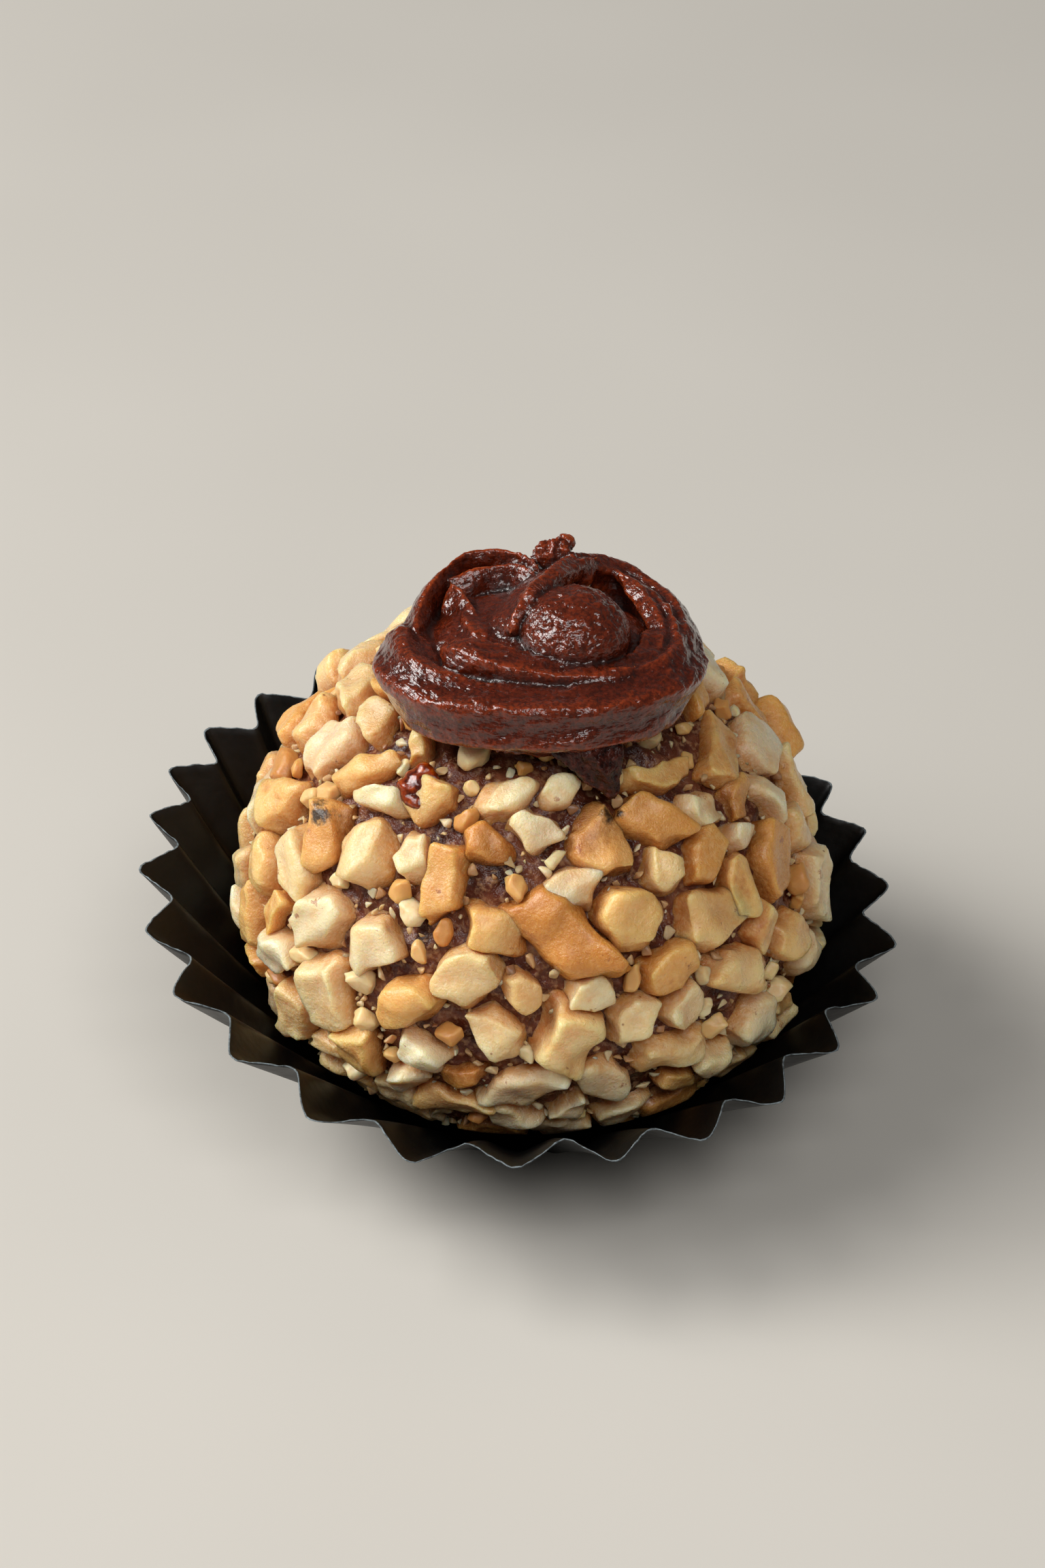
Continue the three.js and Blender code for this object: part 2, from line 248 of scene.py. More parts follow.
# Black paper: dyed through, with a soft gloss from the greaseproof finish and faint fibres.
black_paper, tree, place = new_material("black_greaseproof_paper")
fibre = noise_at(tree, place, 0.5, 4, 0.6)
cloudy = noise_at(tree, place, 4, 3)
paper_bump = bump(tree, fibre, 0.03, 0.6)
paper_bump = bump(tree, cloudy, 0.25, 0.5, paper_bump)
finish_material(
    tree,
    {
        "Base Color": ramp(tree, fibre, (0.3, "#030303"), (0.75, "#080808")),
        "Roughness": ramp(tree, cloudy, (0.3, 0.36), (0.7, 0.5)),
        "Specular IOR Level": 0.3,
        "Normal": paper_bump,
    },
)

# The cut edge: torn grey fibres, paler than the dyed face, partly a painted highlight: pale bluish
# grey where light catches the rim.
cut_edge_and_highlight, tree, place = new_material("cut_paper_edge_and_painted_highlight")
fibre = noise_at(tree, place, 0.35, 3, 0.7)
finish_material(
    tree,
    {
        "Base Color": ramp(tree, fibre, (0.3, "#23282b"), (0.7, "#8b979b")),
        "Roughness": 0.7,
        "Normal": bump(tree, fibre, 0.05),
    },
)
cup = new_piece("pleated_paper_cup", cup_points, cup_faces, [black_paper, cut_edge_and_highlight])
# The painted highlight along the rim: the cut edge's pale bluish grey.
for face in cup.data.polygons[rim_row * around : (rim_row + 2) * around]:
    face.material_index = 1
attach(cup, "root")
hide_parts("paper_cup")

# --------------------------------------------------------------------------------------------------
# The fudge. A ball of cooked milk fudge, rolled by hand and settled in its cup: moist, mauve-brown
# and rough where the nuts leave it bare. Its lower part follows the paper.
PAPER = 0.35  # the cup's thickness in the CAD
GAP = 0.3  # between the ball and the cup
CORE_RADIUS = 15.6
SETTLE = 0.8  # the height of the ball's lower half, as a share of its radius
BALL_HEIGHT = PAPER + GAP + 11.55  # of the ball's middle, which has sunk towards the base
FUDGE_LUMPS = (0.42, 1.6)  # height and width
FUDGE_GRAINS = (0.2, 0.5)


def mixed(tree, factor, first, second, blend="MIX"):
    """Two colours mixed, or blended, by a factor."""
    made = add_node(tree, "ShaderNodeMix", data_type="RGBA", blend_type=blend)
    for key, value in ((0, factor), (6, first), (7, second)):
        if isinstance(value, bpy.types.NodeSocket):
            tree.links.new(value, made.inputs[key])
        elif isinstance(value, str):
            made.inputs[key].default_value = linear(value)
        else:
            made.inputs[key].default_value = value
    return made.outputs[2]


def seated(points):
    """Points round the ball's middle, settled and set in the cup, and pushed in from the paper."""
    points = np.array(points)
    points[:, 2] = np.where(points[:, 2] < 0, SETTLE * points[:, 2], points[:, 2]) + BALL_HEIGHT
    points[:, 2] = np.maximum(points[:, 2], PAPER + GAP)
    x, y, z = points.T
    turn = np.arctan2(y, x)
    share = np.clip(z / (RIM_HEIGHT + RIM_RISE_TO_RIGHT * x + RIM_RISE_TO_BACK * y), 0, 1)
    depth = FLUTE_DEPTH_AT_BASE + (FLUTE_DEPTH_AT_RIM - FLUTE_DEPTH_AT_BASE) * share
    limit = wall_mean(share, turn)[0] - depth / 2 - PAPER - GAP
    shrink = np.minimum(1, limit / np.maximum(np.hypot(x, y), 1e-6))
    points[:, 0] *= shrink
    points[:, 1] *= shrink
    return points


def blob(middle, radii, detail=5):
    """The points and faces of a rounded lump."""
    mesh = bmesh.new()
    bmesh.ops.create_icosphere(mesh, subdivisions=detail, radius=1)
    points = np.array([v.co[:] for v in mesh.verts]) * radii + middle
    faces = [[v.index for v in f.verts] for f in mesh.faces]
    mesh.free()
    return points, faces


directions, ball_faces = blob((0, 0, 0), (1, 1, 1), 7)
on_ball = directions * CORE_RADIUS
relief = FUDGE_LUMPS[0] * lumps(on_ball, FUDGE_LUMPS[1], 1, 3)
relief += FUDGE_GRAINS[0] * lumps(on_ball, FUDGE_GRAINS[1], 2)
core_points = seated(directions * (CORE_RADIUS + relief[:, None]))

# Fudge: cocoa-brown with a mauve cast, glistening where it is moist, paler in some of its fine
# grains.
fudge, tree, place = new_material("moist_milk_fudge")
grains = noise_at(tree, place, 0.4, 3, 0.6)
patches = noise_at(tree, place, 1.6, 3)
fudge_colour = ramp(tree, patches, (0.3, "#38150a"), (0.5, "#633120"), (0.72, "#8c583b"))
fudge_colour = mixed(tree, ramp(tree, grains, (0.52, 0.0), (0.68, 0.5)), fudge_colour, "#ba9168")
finish_material(
    tree,
    {
        "Base Color": fudge_colour,
        "Roughness": ramp(tree, grains, (0.35, 0.16), (0.65, 0.34)),
        "Specular IOR Level": 0.36,
        "Subsurface Weight": 0.3,
        "Subsurface Radius": (1.0, 0.45, 0.25),
        "Subsurface Scale": 0.6 * MM,
        "Normal": bump(tree, grains, 0.14),
    },
)
core = new_piece("fudge_ball", core_points, ball_faces, [fudge])
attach(core, "root")
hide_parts("nut_ball")

# --------------------------------------------------------------------------------------------------
# The chopped nuts. Roasted nuts cut into flat-sided chunks of 2 to 7 mm with worn corners, pressed
# into the fudge: most are pale, some golden, and a few dark from the roast. Each has a shape, size
# and tone of its own.
NUT_SHAPES = 12
NUT_TOP_LEAST = 0.62  # width of a nut's cut top, as a share of its foot
NUT_TOP_MOST = 0.95
NUT_THICKNESS = (1.9, 2.9)
NUT_LIFT = 0.1  # how far a nut's middle stands out from the fudge, as a share of its thickness
NUT_LEAN = 0.3
NUT_LONGEST = 4.7
NUT_SHORTEST = 2.3
NUT_WIDTH_LEAST = 0.62  # as a share of its length, and how much more there may be
NUT_WIDTH_MORE = 0.3
NUT_TRIES = 9000
NUT_CROWDING = 0.86  # nuts overlap a little where it is under 1
NUT_LOWEST = -0.6  # where the paper hides the ball: 0 is its middle and -1 its foot
PRESSED_FROM = -0.15  # below it, the paper presses the nuts into the fudge
PRESSED_BY = 0.8
ROAST_SHARES = (0.58, 0.32, 0.1)  # pale, golden and toasted, among the nuts laid by chance
SEAT_MIDDLE = (0.1, -1.7, 16.7)
SEAT_RADII = (6.6, 5.6, 2.8)
DRIP = [
    (3.0, -7.4, 16.4, 1.5),
    (3.4, -8.4, 15.4, 1.4),
    (3.9, -9.0, 14.5, 1.2),
    (4.4, -9.4, 13.7, 0.8),
]
DRIP_CLEARANCE = 0.6
KNIFE_FLAT = 0.35  # how uneven a nut's cut top is: 0 is flat
WORN = 0.14  # radius of a nut's corners, as a share of half its size
NUT_GRAIN = 0.145  # width of a face of a nut's mesh, as the same share
NUT_FACES = 2000  # the most triangles that a nut has
NUT_BENDS = (2.8, 1.7)  # size of the noise that makes each nut's shape its own, and its strength
NUT_LUMPS = (0.9, 0.2)

# The large nuts at the front: longitude, latitude, length, width, turn, how far each stands out and
# its roast, from 0, pale, to 2, toasted.
FRONT_NUTS = [
    (8, 27, 6.7, 3.4, 139, 0, 2),
    (42, 23, 5.8, 3.4, 162, 0, 1),
    (19, 44, 4.9, 3.9, 48, 0, 2),
    (-42, 3, 5.0, 3.7, 109, 0, 0),
    (-12, 17, 4.9, 3.7, 25, 0, 0),
    (-48, 17, 4.9, 3.6, 52, 0, 0),
    (72, 49, 5.3, 3.1, 15, 0, 1),
    (-59, 23, 5.0, 3.3, 143, 0, 0),
    (23, 28, 4.7, 3.5, 145, 0, 1),
    (31, -3, 4.6, 3.5, 9, 0, 0),
    (0, -9, 6.1, 2.6, 40, 0, 0),
    (-42, 33, 4.1, 3.6, 84, 0, 0),
    (9, 5, 4.4, 3.4, 82, 0, 1),
    (-33, 18, 4.2, 3.1, 38, 0, 0),
    (31, 17, 4.0, 2.9, 13, 0, 1),
    (-7, 27, 3.8, 3.0, 178, 0, 1),
    (46, 35, 3.7, 2.8, 28, 0, 1),
    (44, 53, 5.4, 1.9, 163, 0, 1),
    (-21, 34, 4.7, 2.2, 92, 0, 1),
    (1, 47, 3.5, 3.0, 16, 0, 0),
    (-57, 47, 5.6, 1.8, 59, 0, 1),
    (52, 26, 3.5, 2.8, 77, 0, 1),
    (10, 35, 3.2, 3.1, 65, 0, 0),
    (-9, 52, 4.1, 2.4, 48, 0, 0),
    (35, 45, 3.8, 2.6, 137, 0, 2),
    (33, 36, 3.5, 2.7, 145, 0, 0),
    (33, 8, 3.6, 2.6, 44, 0, 0),
    (-20, -2, 3.7, 2.6, 144, 0, 0),
    (65, 40, 3.5, 2.5, 16, 0, 2),
    (-45, 44, 3.9, 2.2, 23, 0, 0),
    (-55, 32, 3.9, 2.2, 110, 0, 2),
    (50, 43, 3.4, 2.4, 153, 0, 0),
    (13, 15, 3.1, 2.4, 174, 0, 0),
    (-12, -8, 3.3, 2.2, 25, 0, 2),
    (-29, 38, 3.1, 2.2, 106, 0, 0),
    (-13, 42, 2.9, 2.2, 0, 0, 2),
    (124, 34, 4.2, 3.0, 100, 0.7, 2),
    (116, 25, 4.6, 2.8, 20, 0.5, 1),
    (-122, 34, 4.4, 3.0, 60, 0.5, 1),
]

draw_state = 7


def draw():
    """A repeatable number from 0 to 1, in the same order as in the CAD."""
    global draw_state
    draw_state = (draw_state * 1664525 + 1013904223) % 4294967296
    return draw_state / 4294967296


def nut_corners(shape):
    """The corners of a chopped nut in a box from -1 to 1, by the same rule as in the CAD."""
    sides = 4 + shape % 3
    reach = 0.88 / math.cos(math.pi / sides)
    feet, tops = [], []
    for i in range(sides):
        at = (i + 0.5 + 0.5 * (draw() - 0.5)) / sides * 2 * math.pi
        foot = reach * (0.9 + 0.15 * draw())
        top = foot * (NUT_TOP_LEAST + (NUT_TOP_MOST - NUT_TOP_LEAST) * draw())
        height = 0.55 + 0.45 * draw()
        feet.append(Vector((foot * math.cos(at), foot * math.sin(at), -0.8)))
        tops.append(Vector((top * math.cos(at), top * math.sin(at), height)))
    level = sum(top.z for top in tops) / sides
    for top in tops:
        top.z = level + KNIFE_FLAT * (top.z - level)
    return feet + tops


def direction_at(longitude, latitude):
    """A direction from the ball's middle. Longitude 0 faces the front."""
    level = math.cos(latitude)
    return Vector((level * math.sin(longitude), -level * math.cos(longitude), math.sin(latitude)))


def is_bare(direction, reach):
    """Whether a nut there would meet the rosette's seat or drip, or the paper under the ball."""
    at = direction * CORE_RADIUS
    across = (at.x - SEAT_MIDDLE[0]) / (SEAT_RADII[0] + reach)
    along = (at.y - SEAT_MIDDLE[1]) / (SEAT_RADII[1] + reach)
    under_seat = at.z > 0 and math.hypot(across, along) < 1
    under_drip = any(
        (at - Vector((x, y, z))).length < r + reach + DRIP_CLEARANCE for x, y, z, r in DRIP
    )
    return under_seat or under_drip or direction.z < NUT_LOWEST


def nut_places():
    """Every nut: the front ones first, then ever smaller ones wherever there is room."""
    places = []

    def add(direction, long, wide, turn, raised, roast):
        thick = NUT_THICKNESS[0] + (NUT_THICKNESS[1] - NUT_THICKNESS[0]) * draw()
        lean = (draw() - 0.5, draw() - 0.5)
        reach = (long + wide) / 4
        places.append((direction, long, wide, thick, turn, raised, lean, reach, roast))

    for longitude, latitude, long, wide, turn, raised, roast in FRONT_NUTS:
        direction = direction_at(math.radians(longitude), math.radians(latitude))
        add(direction, long, wide, math.radians(turn), raised, roast)
    for i in range(NUT_TRIES):
        around_ball = 2 * math.pi * draw()
        direction = direction_at(around_ball, math.asin(2 * draw() - 1))
        long = NUT_LONGEST + (NUT_SHORTEST - NUT_LONGEST) * i / NUT_TRIES
        wide = long * (NUT_WIDTH_LEAST + NUT_WIDTH_MORE * draw())
        turn = math.pi * draw()
        reach = (long + wide) / 4
        crowded = any(
            (direction - other[0]).length * CORE_RADIUS < NUT_CROWDING * (reach + other[7])
            for other in places
        )
        if not crowded and not is_bare(direction, reach):
            add(direction, long, wide, turn, 0, None)
    return places


def points_of(piece):
    """A piece's points in millimetres."""
    flat = np.zeros(len(piece.data.vertices) * 3)
    piece.data.vertices.foreach_get("co", flat)
    return flat.reshape(-1, 3) / MM


def move_points(piece, points):
    """Puts a piece's points at places in millimetres."""
    piece.data.vertices.foreach_set("co", (points * MM).ravel())
    piece.data.update()


def apply_modifiers(piece):
    """Turns a piece's modifiers into its mesh."""
    bpy.context.view_layer.update()
    graph = bpy.context.evaluated_depsgraph_get()
    result = bpy.data.meshes.new_from_object(piece.evaluated_get(graph), depsgraph=graph)
    piece.modifiers.clear()
    piece.data = result


def rounded_chunk(name, corners, worn, grain, most_faces):
    """A chunk with worn corners in a box from -1 to 1, with an even mesh."""
    mesh = bmesh.new()
    bmesh.ops.create_icosphere(mesh, subdivisions=2, radius=worn)
    knob = [v.co.copy() for v in mesh.verts]
    mesh.clear()
    for corner in corners:
        for point in knob:
            mesh.verts.new(corner * (1 - 0.75 * worn) + point)
    hull = bmesh.ops.convex_hull(mesh, input=mesh.verts)
    loose = hull["geom_interior"] + hull["geom_unused"]
    spare = {v for v in loose if isinstance(v, bmesh.types.BMVert)}
    bmesh.ops.delete(mesh, geom=list(spare), context="VERTS")
    result = bpy.data.meshes.new(name)
    mesh.to_mesh(result)
    mesh.free()
    chunk = bpy.data.objects.new(name, result)
    scene.collection.objects.link(chunk)
    chunk.modifiers.new("even", "REMESH").voxel_size = grain
    chunk.modifiers.new("smooth", "SMOOTH").iterations = 1
    apply_modifiers(chunk)
    triangles = 2 * len(chunk.data.polygons)
    chunk.modifiers.new("fewer", "DECIMATE").ratio = min(1, most_faces / triangles)
    apply_modifiers(chunk)
    scene.collection.objects.unlink(chunk)
    return chunk


# Puts a shape at each place, then gives every copy its own lumps and hollows.
scatter = bpy.data.node_groups.new("scatter_shapes", "GeometryNodeTree")
sockets = {}
for key, kind in (
    ("Places", "NodeSocketGeometry"),
    ("Shapes", "NodeSocketCollection"),
    ("Finish", "NodeSocketMaterial"),
    ("Bend Size", "NodeSocketFloat"),
    ("Bend", "NodeSocketFloat"),
    ("Lump Size", "NodeSocketFloat"),
    ("Lump Height", "NodeSocketFloat"),
):
    sockets[key] = scatter.interface.new_socket(key, in_out="INPUT", socket_type=kind)
scatter.interface.new_socket("Mesh", in_out="OUTPUT", socket_type="NodeSocketGeometry")
given = add_node(scatter, "NodeGroupInput").outputs


def named(key, kind):
    """A value that each place carries."""
    made = add_node(scatter, "GeometryNodeInputNamedAttribute", {"Name": key}, data_type=kind)
    return made.outputs["Attribute"]


def vector_math(tree, operation, inputs, output="Vector"):
    """One step of arithmetic on vectors."""
    return add_node(tree, "ShaderNodeVectorMath", inputs, operation=operation).outputs[output]


shapes_in = add_node(
    scatter,
    "GeometryNodeCollectionInfo",
    {"Collection": given["Shapes"], "Separate Children": True, "Reset Children": True},
)
instances = add_node(
    scatter,
    "GeometryNodeInstanceOnPoints",
    {
        "Points": given["Places"],
        "Instance": shapes_in.outputs["Instances"],
        "Pick Instance": True,
        "Instance Index": named("shape", "INT"),
        "Rotation": named("turn", "FLOAT_VECTOR"),
        "Scale": named("size", "FLOAT_VECTOR"),
    },
)
real = add_node(
    scatter,
    "GeometryNodeRealizeInstances",
    {"Geometry": instances.outputs["Instances"]},
)
where = add_node(scatter, "GeometryNodeInputPosition").outputs["Position"]
normal = add_node(scatter, "GeometryNodeInputNormal").outputs["Normal"]


def noise_around(size_key, amount_key, output):
    """Noise of a size, centred on zero, times an amount."""
    scale = add_node(scatter, "ShaderNodeMath", {0: 1.0, 1: given[size_key]}, operation="DIVIDE")
    inputs = {"Vector": where, "Scale": scale.outputs[0], "Detail": 1.0}
    field = add_node(scatter, "ShaderNodeTexNoise", inputs).outputs[output]
    centred = vector_math(scatter, "SUBTRACT", {0: field, 1: (0.5,) * 3})
    return vector_math(scatter, "SCALE", {0: centred, "Scale": given[amount_key]})


bent = add_node(
    scatter,
    "GeometryNodeSetPosition",
    {"Geometry": real.outputs["Geometry"], "Offset": noise_around("Bend Size", "Bend", "Color")},
)
lump_height = noise_around("Lump Size", "Lump Height", "Fac")
lump_offset = vector_math(scatter, "MULTIPLY", {0: lump_height, 1: normal})
uneven = add_node(
    scatter,
    "GeometryNodeSetPosition",
    {"Geometry": bent.outputs["Geometry"], "Offset": lump_offset},
)
smooth = add_node(scatter, "GeometryNodeSetShadeSmooth", {"Geometry": uneven.outputs["Geometry"]})
coated = add_node(
    scatter,
    "GeometryNodeSetMaterial",
    {"Geometry": smooth.outputs["Geometry"], "Material": given["Finish"]},
)
add_node(scatter, "NodeGroupOutput", {"Mesh": coated.outputs["Geometry"]})


def scattered(name, places, shapes, finish, bend, lump):
    """A piece of many small solids. Each place is a centre, a turn, a size, a shape and a tone.

    It keeps each solid's tone, and how far each point rises out of the fudge.
    """
    centres, turns, sizes, kinds, tones = zip(*places)
    cloud = bpy.data.meshes.new(name)
    cloud.from_pydata((np.array(centres) * MM).tolist(), [], [])
    for key, kind, field, values in (
        ("turn", "FLOAT_VECTOR", "vector", np.array([t.to_euler()[:] for t in turns])),
        ("size", "FLOAT_VECTOR", "vector", np.array(sizes) * MM),
        ("shape", "INT", "value", np.array(kinds)),
        ("tone", "FLOAT", "value", np.array(tones)),
    ):
        cloud.attributes.new(key, kind, "POINT").data.foreach_set(field, values.ravel())
    made = bpy.data.objects.new(name, cloud)
    scene.collection.objects.link(made)
    modifier = made.modifiers.new("scatter", "NODES")
    modifier.node_group = scatter
    settings = {
        "Shapes": shapes,
        "Finish": finish,
        "Bend Size": bend[0] * MM,
        "Bend": bend[1] * MM,
        "Lump Size": lump[0] * MM,
        "Lump Height": lump[1] * MM,
    }
    for key, value in settings.items():
        modifier[sockets[key].identifier] = value
    apply_modifiers(made)
    made.data.materials.clear()
    made.data.materials.append(finish)
    for key in ("turn", "size", "shape"):
        layer = made.data.attributes.get(key)
        if layer:
            made.data.attributes.remove(layer)
    points = points_of(made)
    # The nuts' flesh paints shade from this: browner where a point sits low, near the fudge.
    rise = (np.linalg.norm(points, axis=1) - CORE_RADIUS) / NUT_THICKNESS[0]
    rise_layer = made.data.attributes.new("rise", "FLOAT", "POINT")
    rise_layer.data.foreach_set("value", np.clip(rise, 0, 1))
    move_points(made, seated(points))
    return made


def frame_at(direction, turn, lean=(0, 0)):
    """The turn of a chunk that lies on the ball."""
    east = Vector((0, 0, 1)).cross(direction).normalized()
    north = direction.cross(east)
    out = (direction + east * NUT_LEAN * lean[0] + north * NUT_LEAN * lean[1]).normalized()
    along = east * math.cos(turn) + north * math.sin(turn)
    along = (along - out * along.dot(out)).normalized()
    return Matrix((along, out.cross(along), out)).transposed()


nut_shapes = bpy.data.collections.new("nut_shapes")
for shape in range(NUT_SHAPES):
    chunk = rounded_chunk(f"nut_shape_{shape:02d}", nut_corners(shape), WORN, NUT_GRAIN, NUT_FACES)
    nut_shapes.objects.link(chunk)

all_nuts = nut_places()
nuts_by_roast = {0: [], 1: [], 2: []}
for i, nut in enumerate(all_nuts):
    direction, long, wide, thick, turn, raised, lean, reach, roast = nut
    step = min(max((direction.z - NUT_LOWEST) / (PRESSED_FROM - NUT_LOWEST), 0), 1)
    pressed = PRESSED_BY * step * step * (3 - 2 * step) - PRESSED_BY
    centre = direction * (CORE_RADIUS + NUT_LIFT * thick + raised + pressed)
    if roast is None:
        roast = rng.choice(3, p=ROAST_SHARES)
    size = (long / 2, wide / 2, thick / 2)
    lie = frame_at(direction, turn, lean)
    nuts_by_roast[roast].append((centre, lie, size, i % NUT_SHAPES, rng.rand()))


def carried(tree, name):
    """A number that a piece carries at each point."""
    return add_node(tree, "ShaderNodeAttribute", attribute_name=name).outputs["Fac"]


# The nuts' flesh: waxy and a little see-through, mottled, more golden in patches where the roast
# caught it, with painted shade that browns it low on each nut where it sinks into the fudge, with a
# few dark specks of skin, and two spots burnt black.
BURNT_SPOTS = [
    (Vector((-11.7, -8.0, 10.1 + BALL_HEIGHT)) * MM, 1.4),
    (Vector((4.4, -10.4, 12.7 + BALL_HEIGHT)) * MM, 1.1),
]
for name, roast, light, middle, dark, scorched_and_shade in (
    ("pale_nuts", 0, "#faebc8", "#f6dcaa", "#f0c888", "#d0873c"),
    ("golden_nuts", 1, "#f9d89d", "#f3c47a", "#e9a956", "#ba6722"),
    ("toasted_nuts", 2, "#f0bc76", "#e3a556", "#cf893a", "#924c14"),
):
    nut_flesh, tree, place = new_material(name.replace("nuts", "nut_flesh"))
    tone = carried(tree, "tone")
    mottle = noise_at(tree, place, 1.7, 3, 0.6)
    grain = noise_at(tree, place, 0.3, 3, 0.6)
    fine = noise_at(tree, place, 0.12, 2, 0.6)
    rise = carried(tree, "rise")
    colour = ramp(tree, tone, (0.0, light), (0.55, middle), (1.0, dark))
    colour = mixed(tree, ramp(tree, mottle, (0.45, 0.0), (0.6, 0.5)), colour, dark)
    colour = mixed(tree, ramp(tree, mottle, (0.6, 0.0), (0.75, 0.6)), colour, scorched_and_shade)
    # Painted shade: low on each nut, where it sinks into the fudge, the flesh turns to the scorched
    # colour.
    colour = mixed(tree, ramp(tree, rise, (0.15, 0.85), (0.75, 0.0)), colour, scorched_and_shade)
    colour = mixed(tree, ramp(tree, grain, (0.3, 0.3), (0.55, 0.0)), colour, light)
    skin = ramp(tree, noise_at(tree, place, 1.1, 4, 0.7), (0.66, 0.0), (0.7, 0.65))
    colour = mixed(tree, skin, colour, "#9a4f22")
    inputs = {"Vector": place, "Scale": 1 / (1.3 * MM)}
    specks = add_node(tree, "ShaderNodeTexVoronoi", inputs).outputs["Distance"]
    speck = ramp(tree, specks, (0.035, 1.0), (0.08, 0.0))
    rare = ramp(tree, noise_at(tree, place, 2.2, 1), (0.52, 0.0), (0.6, 0.8))
    speck = mixed(tree, 1.0, speck, rare, "MULTIPLY")
    colour = mixed(tree, speck, colour, "#8a4a20")
    torn = noise_at(tree, place, 0.8, 3, 0.7)
    for spot, size in BURNT_SPOTS:
        away = vector_math(tree, "DISTANCE", {0: place, 1: tuple(spot)}, "Value")
        inputs = {0: away, 1: 0.5 / (size * MM), 2: torn}
        ragged = add_node(tree, "ShaderNodeMath", inputs, operation="MULTIPLY_ADD")
        char = ramp(tree, ragged.outputs[0], (0.62, 0.95), (0.85, 0.0))
        colour = mixed(tree, char, colour, "#1c0a05")
    flesh_bump = bump(tree, grain, 0.11, 0.9)
    flesh_bump = bump(tree, fine, 0.06, 0.9, flesh_bump)
    finish_material(
        tree,
        {
            "Base Color": colour,
            "Roughness": ramp(tree, mottle, (0.3, 0.2), (0.7, 0.36)),
            "Subsurface Weight": 0.75,
            "Subsurface Radius": (1.0, 0.68, 0.32),
            "Subsurface Scale": 1.3 * MM,
            "Coat Weight": 0.25,
            "Coat Roughness": 0.22,
            "Normal": flesh_bump,
        },
    )
    nuts = scattered(name, nuts_by_roast[roast], nut_shapes, nut_flesh, NUT_BENDS, NUT_LUMPS)
    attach(nuts, "root")
    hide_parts("nut_ball")

# --------------------------------------------------------------------------------------------------
# The chips and crumbs. What else the knife left on the board: chips of nut 1 to 2.5 mm long, and
# crumbs down to 0.3 mm, stuck to the fudge in the gaps between the nuts and here and there on one.
CHIP_SHAPES = 6
CHIP_GRAIN = 0.28
CHIP_FACES = 700
CHIP_TRIES = 2600
CHIP_HALF_LENGTHS = (1.15, 0.45)  # the largest and the smallest
CHIP_CROWDING = 0.86
CHIP_LIFT = 0.45  # how far a chip stands out from the fudge, as a share of its size
CHIP_LEAN = 1.6
CRUMB_SHAPES = 5
CRUMB_WORN = 0.22
CRUMB_GRAIN = 0.2
CRUMB_FACES = 80
CRUMB_TRIES = 5000
CRUMB_HALF_LENGTHS = (0.55, 0.15)
CRUMB_CROWDING = 0.74
CRUMB_LIFT = 0.5
CRUMB_LEAN = 4
BIT_PROPORTIONS = ((1.0, 1.25), (0.65, 1.0), (0.5, 0.8))  # length, width and thickness
BIT_BENDS = (1.2, 0.5)
BIT_LUMPS = (0.5, 0.08)
BIT_LIFT = 0.15
BITS_UNDER_ROSETTE = 1.2  # how far they reach in under the rosette's edge
chip_shapes = bpy.data.collections.new("chip_shapes")
for shape in range(CHIP_SHAPES):
    chunk = rounded_chunk(f"chip_shape_{shape}", nut_corners(shape), WORN, CHIP_GRAIN, CHIP_FACES)
    chip_shapes.objects.link(chunk)
crumb_shapes = bpy.data.collections.new("crumb_shapes")
for shape in range(CRUMB_SHAPES):
    corners = [Vector(p) for p in rng.uniform(-0.9, 0.9, (7, 3))]
    name = f"crumb_shape_{shape}"
    crumb = rounded_chunk(name, corners, CRUMB_WORN, CRUMB_GRAIN, CRUMB_FACES)
    crumb_shapes.objects.link(crumb)
nut_spots = np.array([(*other[0], other[7]) for other in all_nuts])


def in_the_gaps(tries, largest, smallest, closeness, spots):
    """Directions and half sizes of bits that find room between the spots, the largest first."""
    found = []
    for i in range(tries):
        direction = direction_at(2 * math.pi * rng.rand(), math.asin(rng.uniform(NUT_LOWEST, 1)))
        size = largest + (smallest - largest) * (i / tries) ** 0.7
        apart = np.linalg.norm(spots[:, :3] - direction[:], axis=1) * CORE_RADIUS
        free = (apart > closeness * (size + spots[:, 3])).all()
        if free and not is_bare(direction, -BITS_UNDER_ROSETTE):
            found.append((direction, size))
            spots = np.concatenate([spots, [(*direction, size)]])
    return found, spots


def as_places(found, lift, lean, shapes):
    """Places for bits that stand out from the fudge by a share of their size, leaning each way."""
    places = []
    for direction, size in found:
        turn = frame_at(direction, 2 * math.pi * rng.rand(), rng.uniform(-lean, lean, 2))
        proportions = [size * rng.uniform(*span) for span in BIT_PROPORTIONS]
        centre = direction * (CORE_RADIUS + BIT_LIFT + lift * size)
        places.append((centre, turn, proportions, rng.randint(shapes), rng.rand()))
    return places


chips, spots = in_the_gaps(CHIP_TRIES, *CHIP_HALF_LENGTHS, CHIP_CROWDING, nut_spots)
crumbs, _ = in_the_gaps(CRUMB_TRIES, *CRUMB_HALF_LENGTHS, CRUMB_CROWDING, spots)
chip_places = as_places(chips, CHIP_LIFT, CHIP_LEAN, CHIP_SHAPES)
crumb_places = as_places(crumbs, CRUMB_LIFT, CRUMB_LEAN, CRUMB_SHAPES)

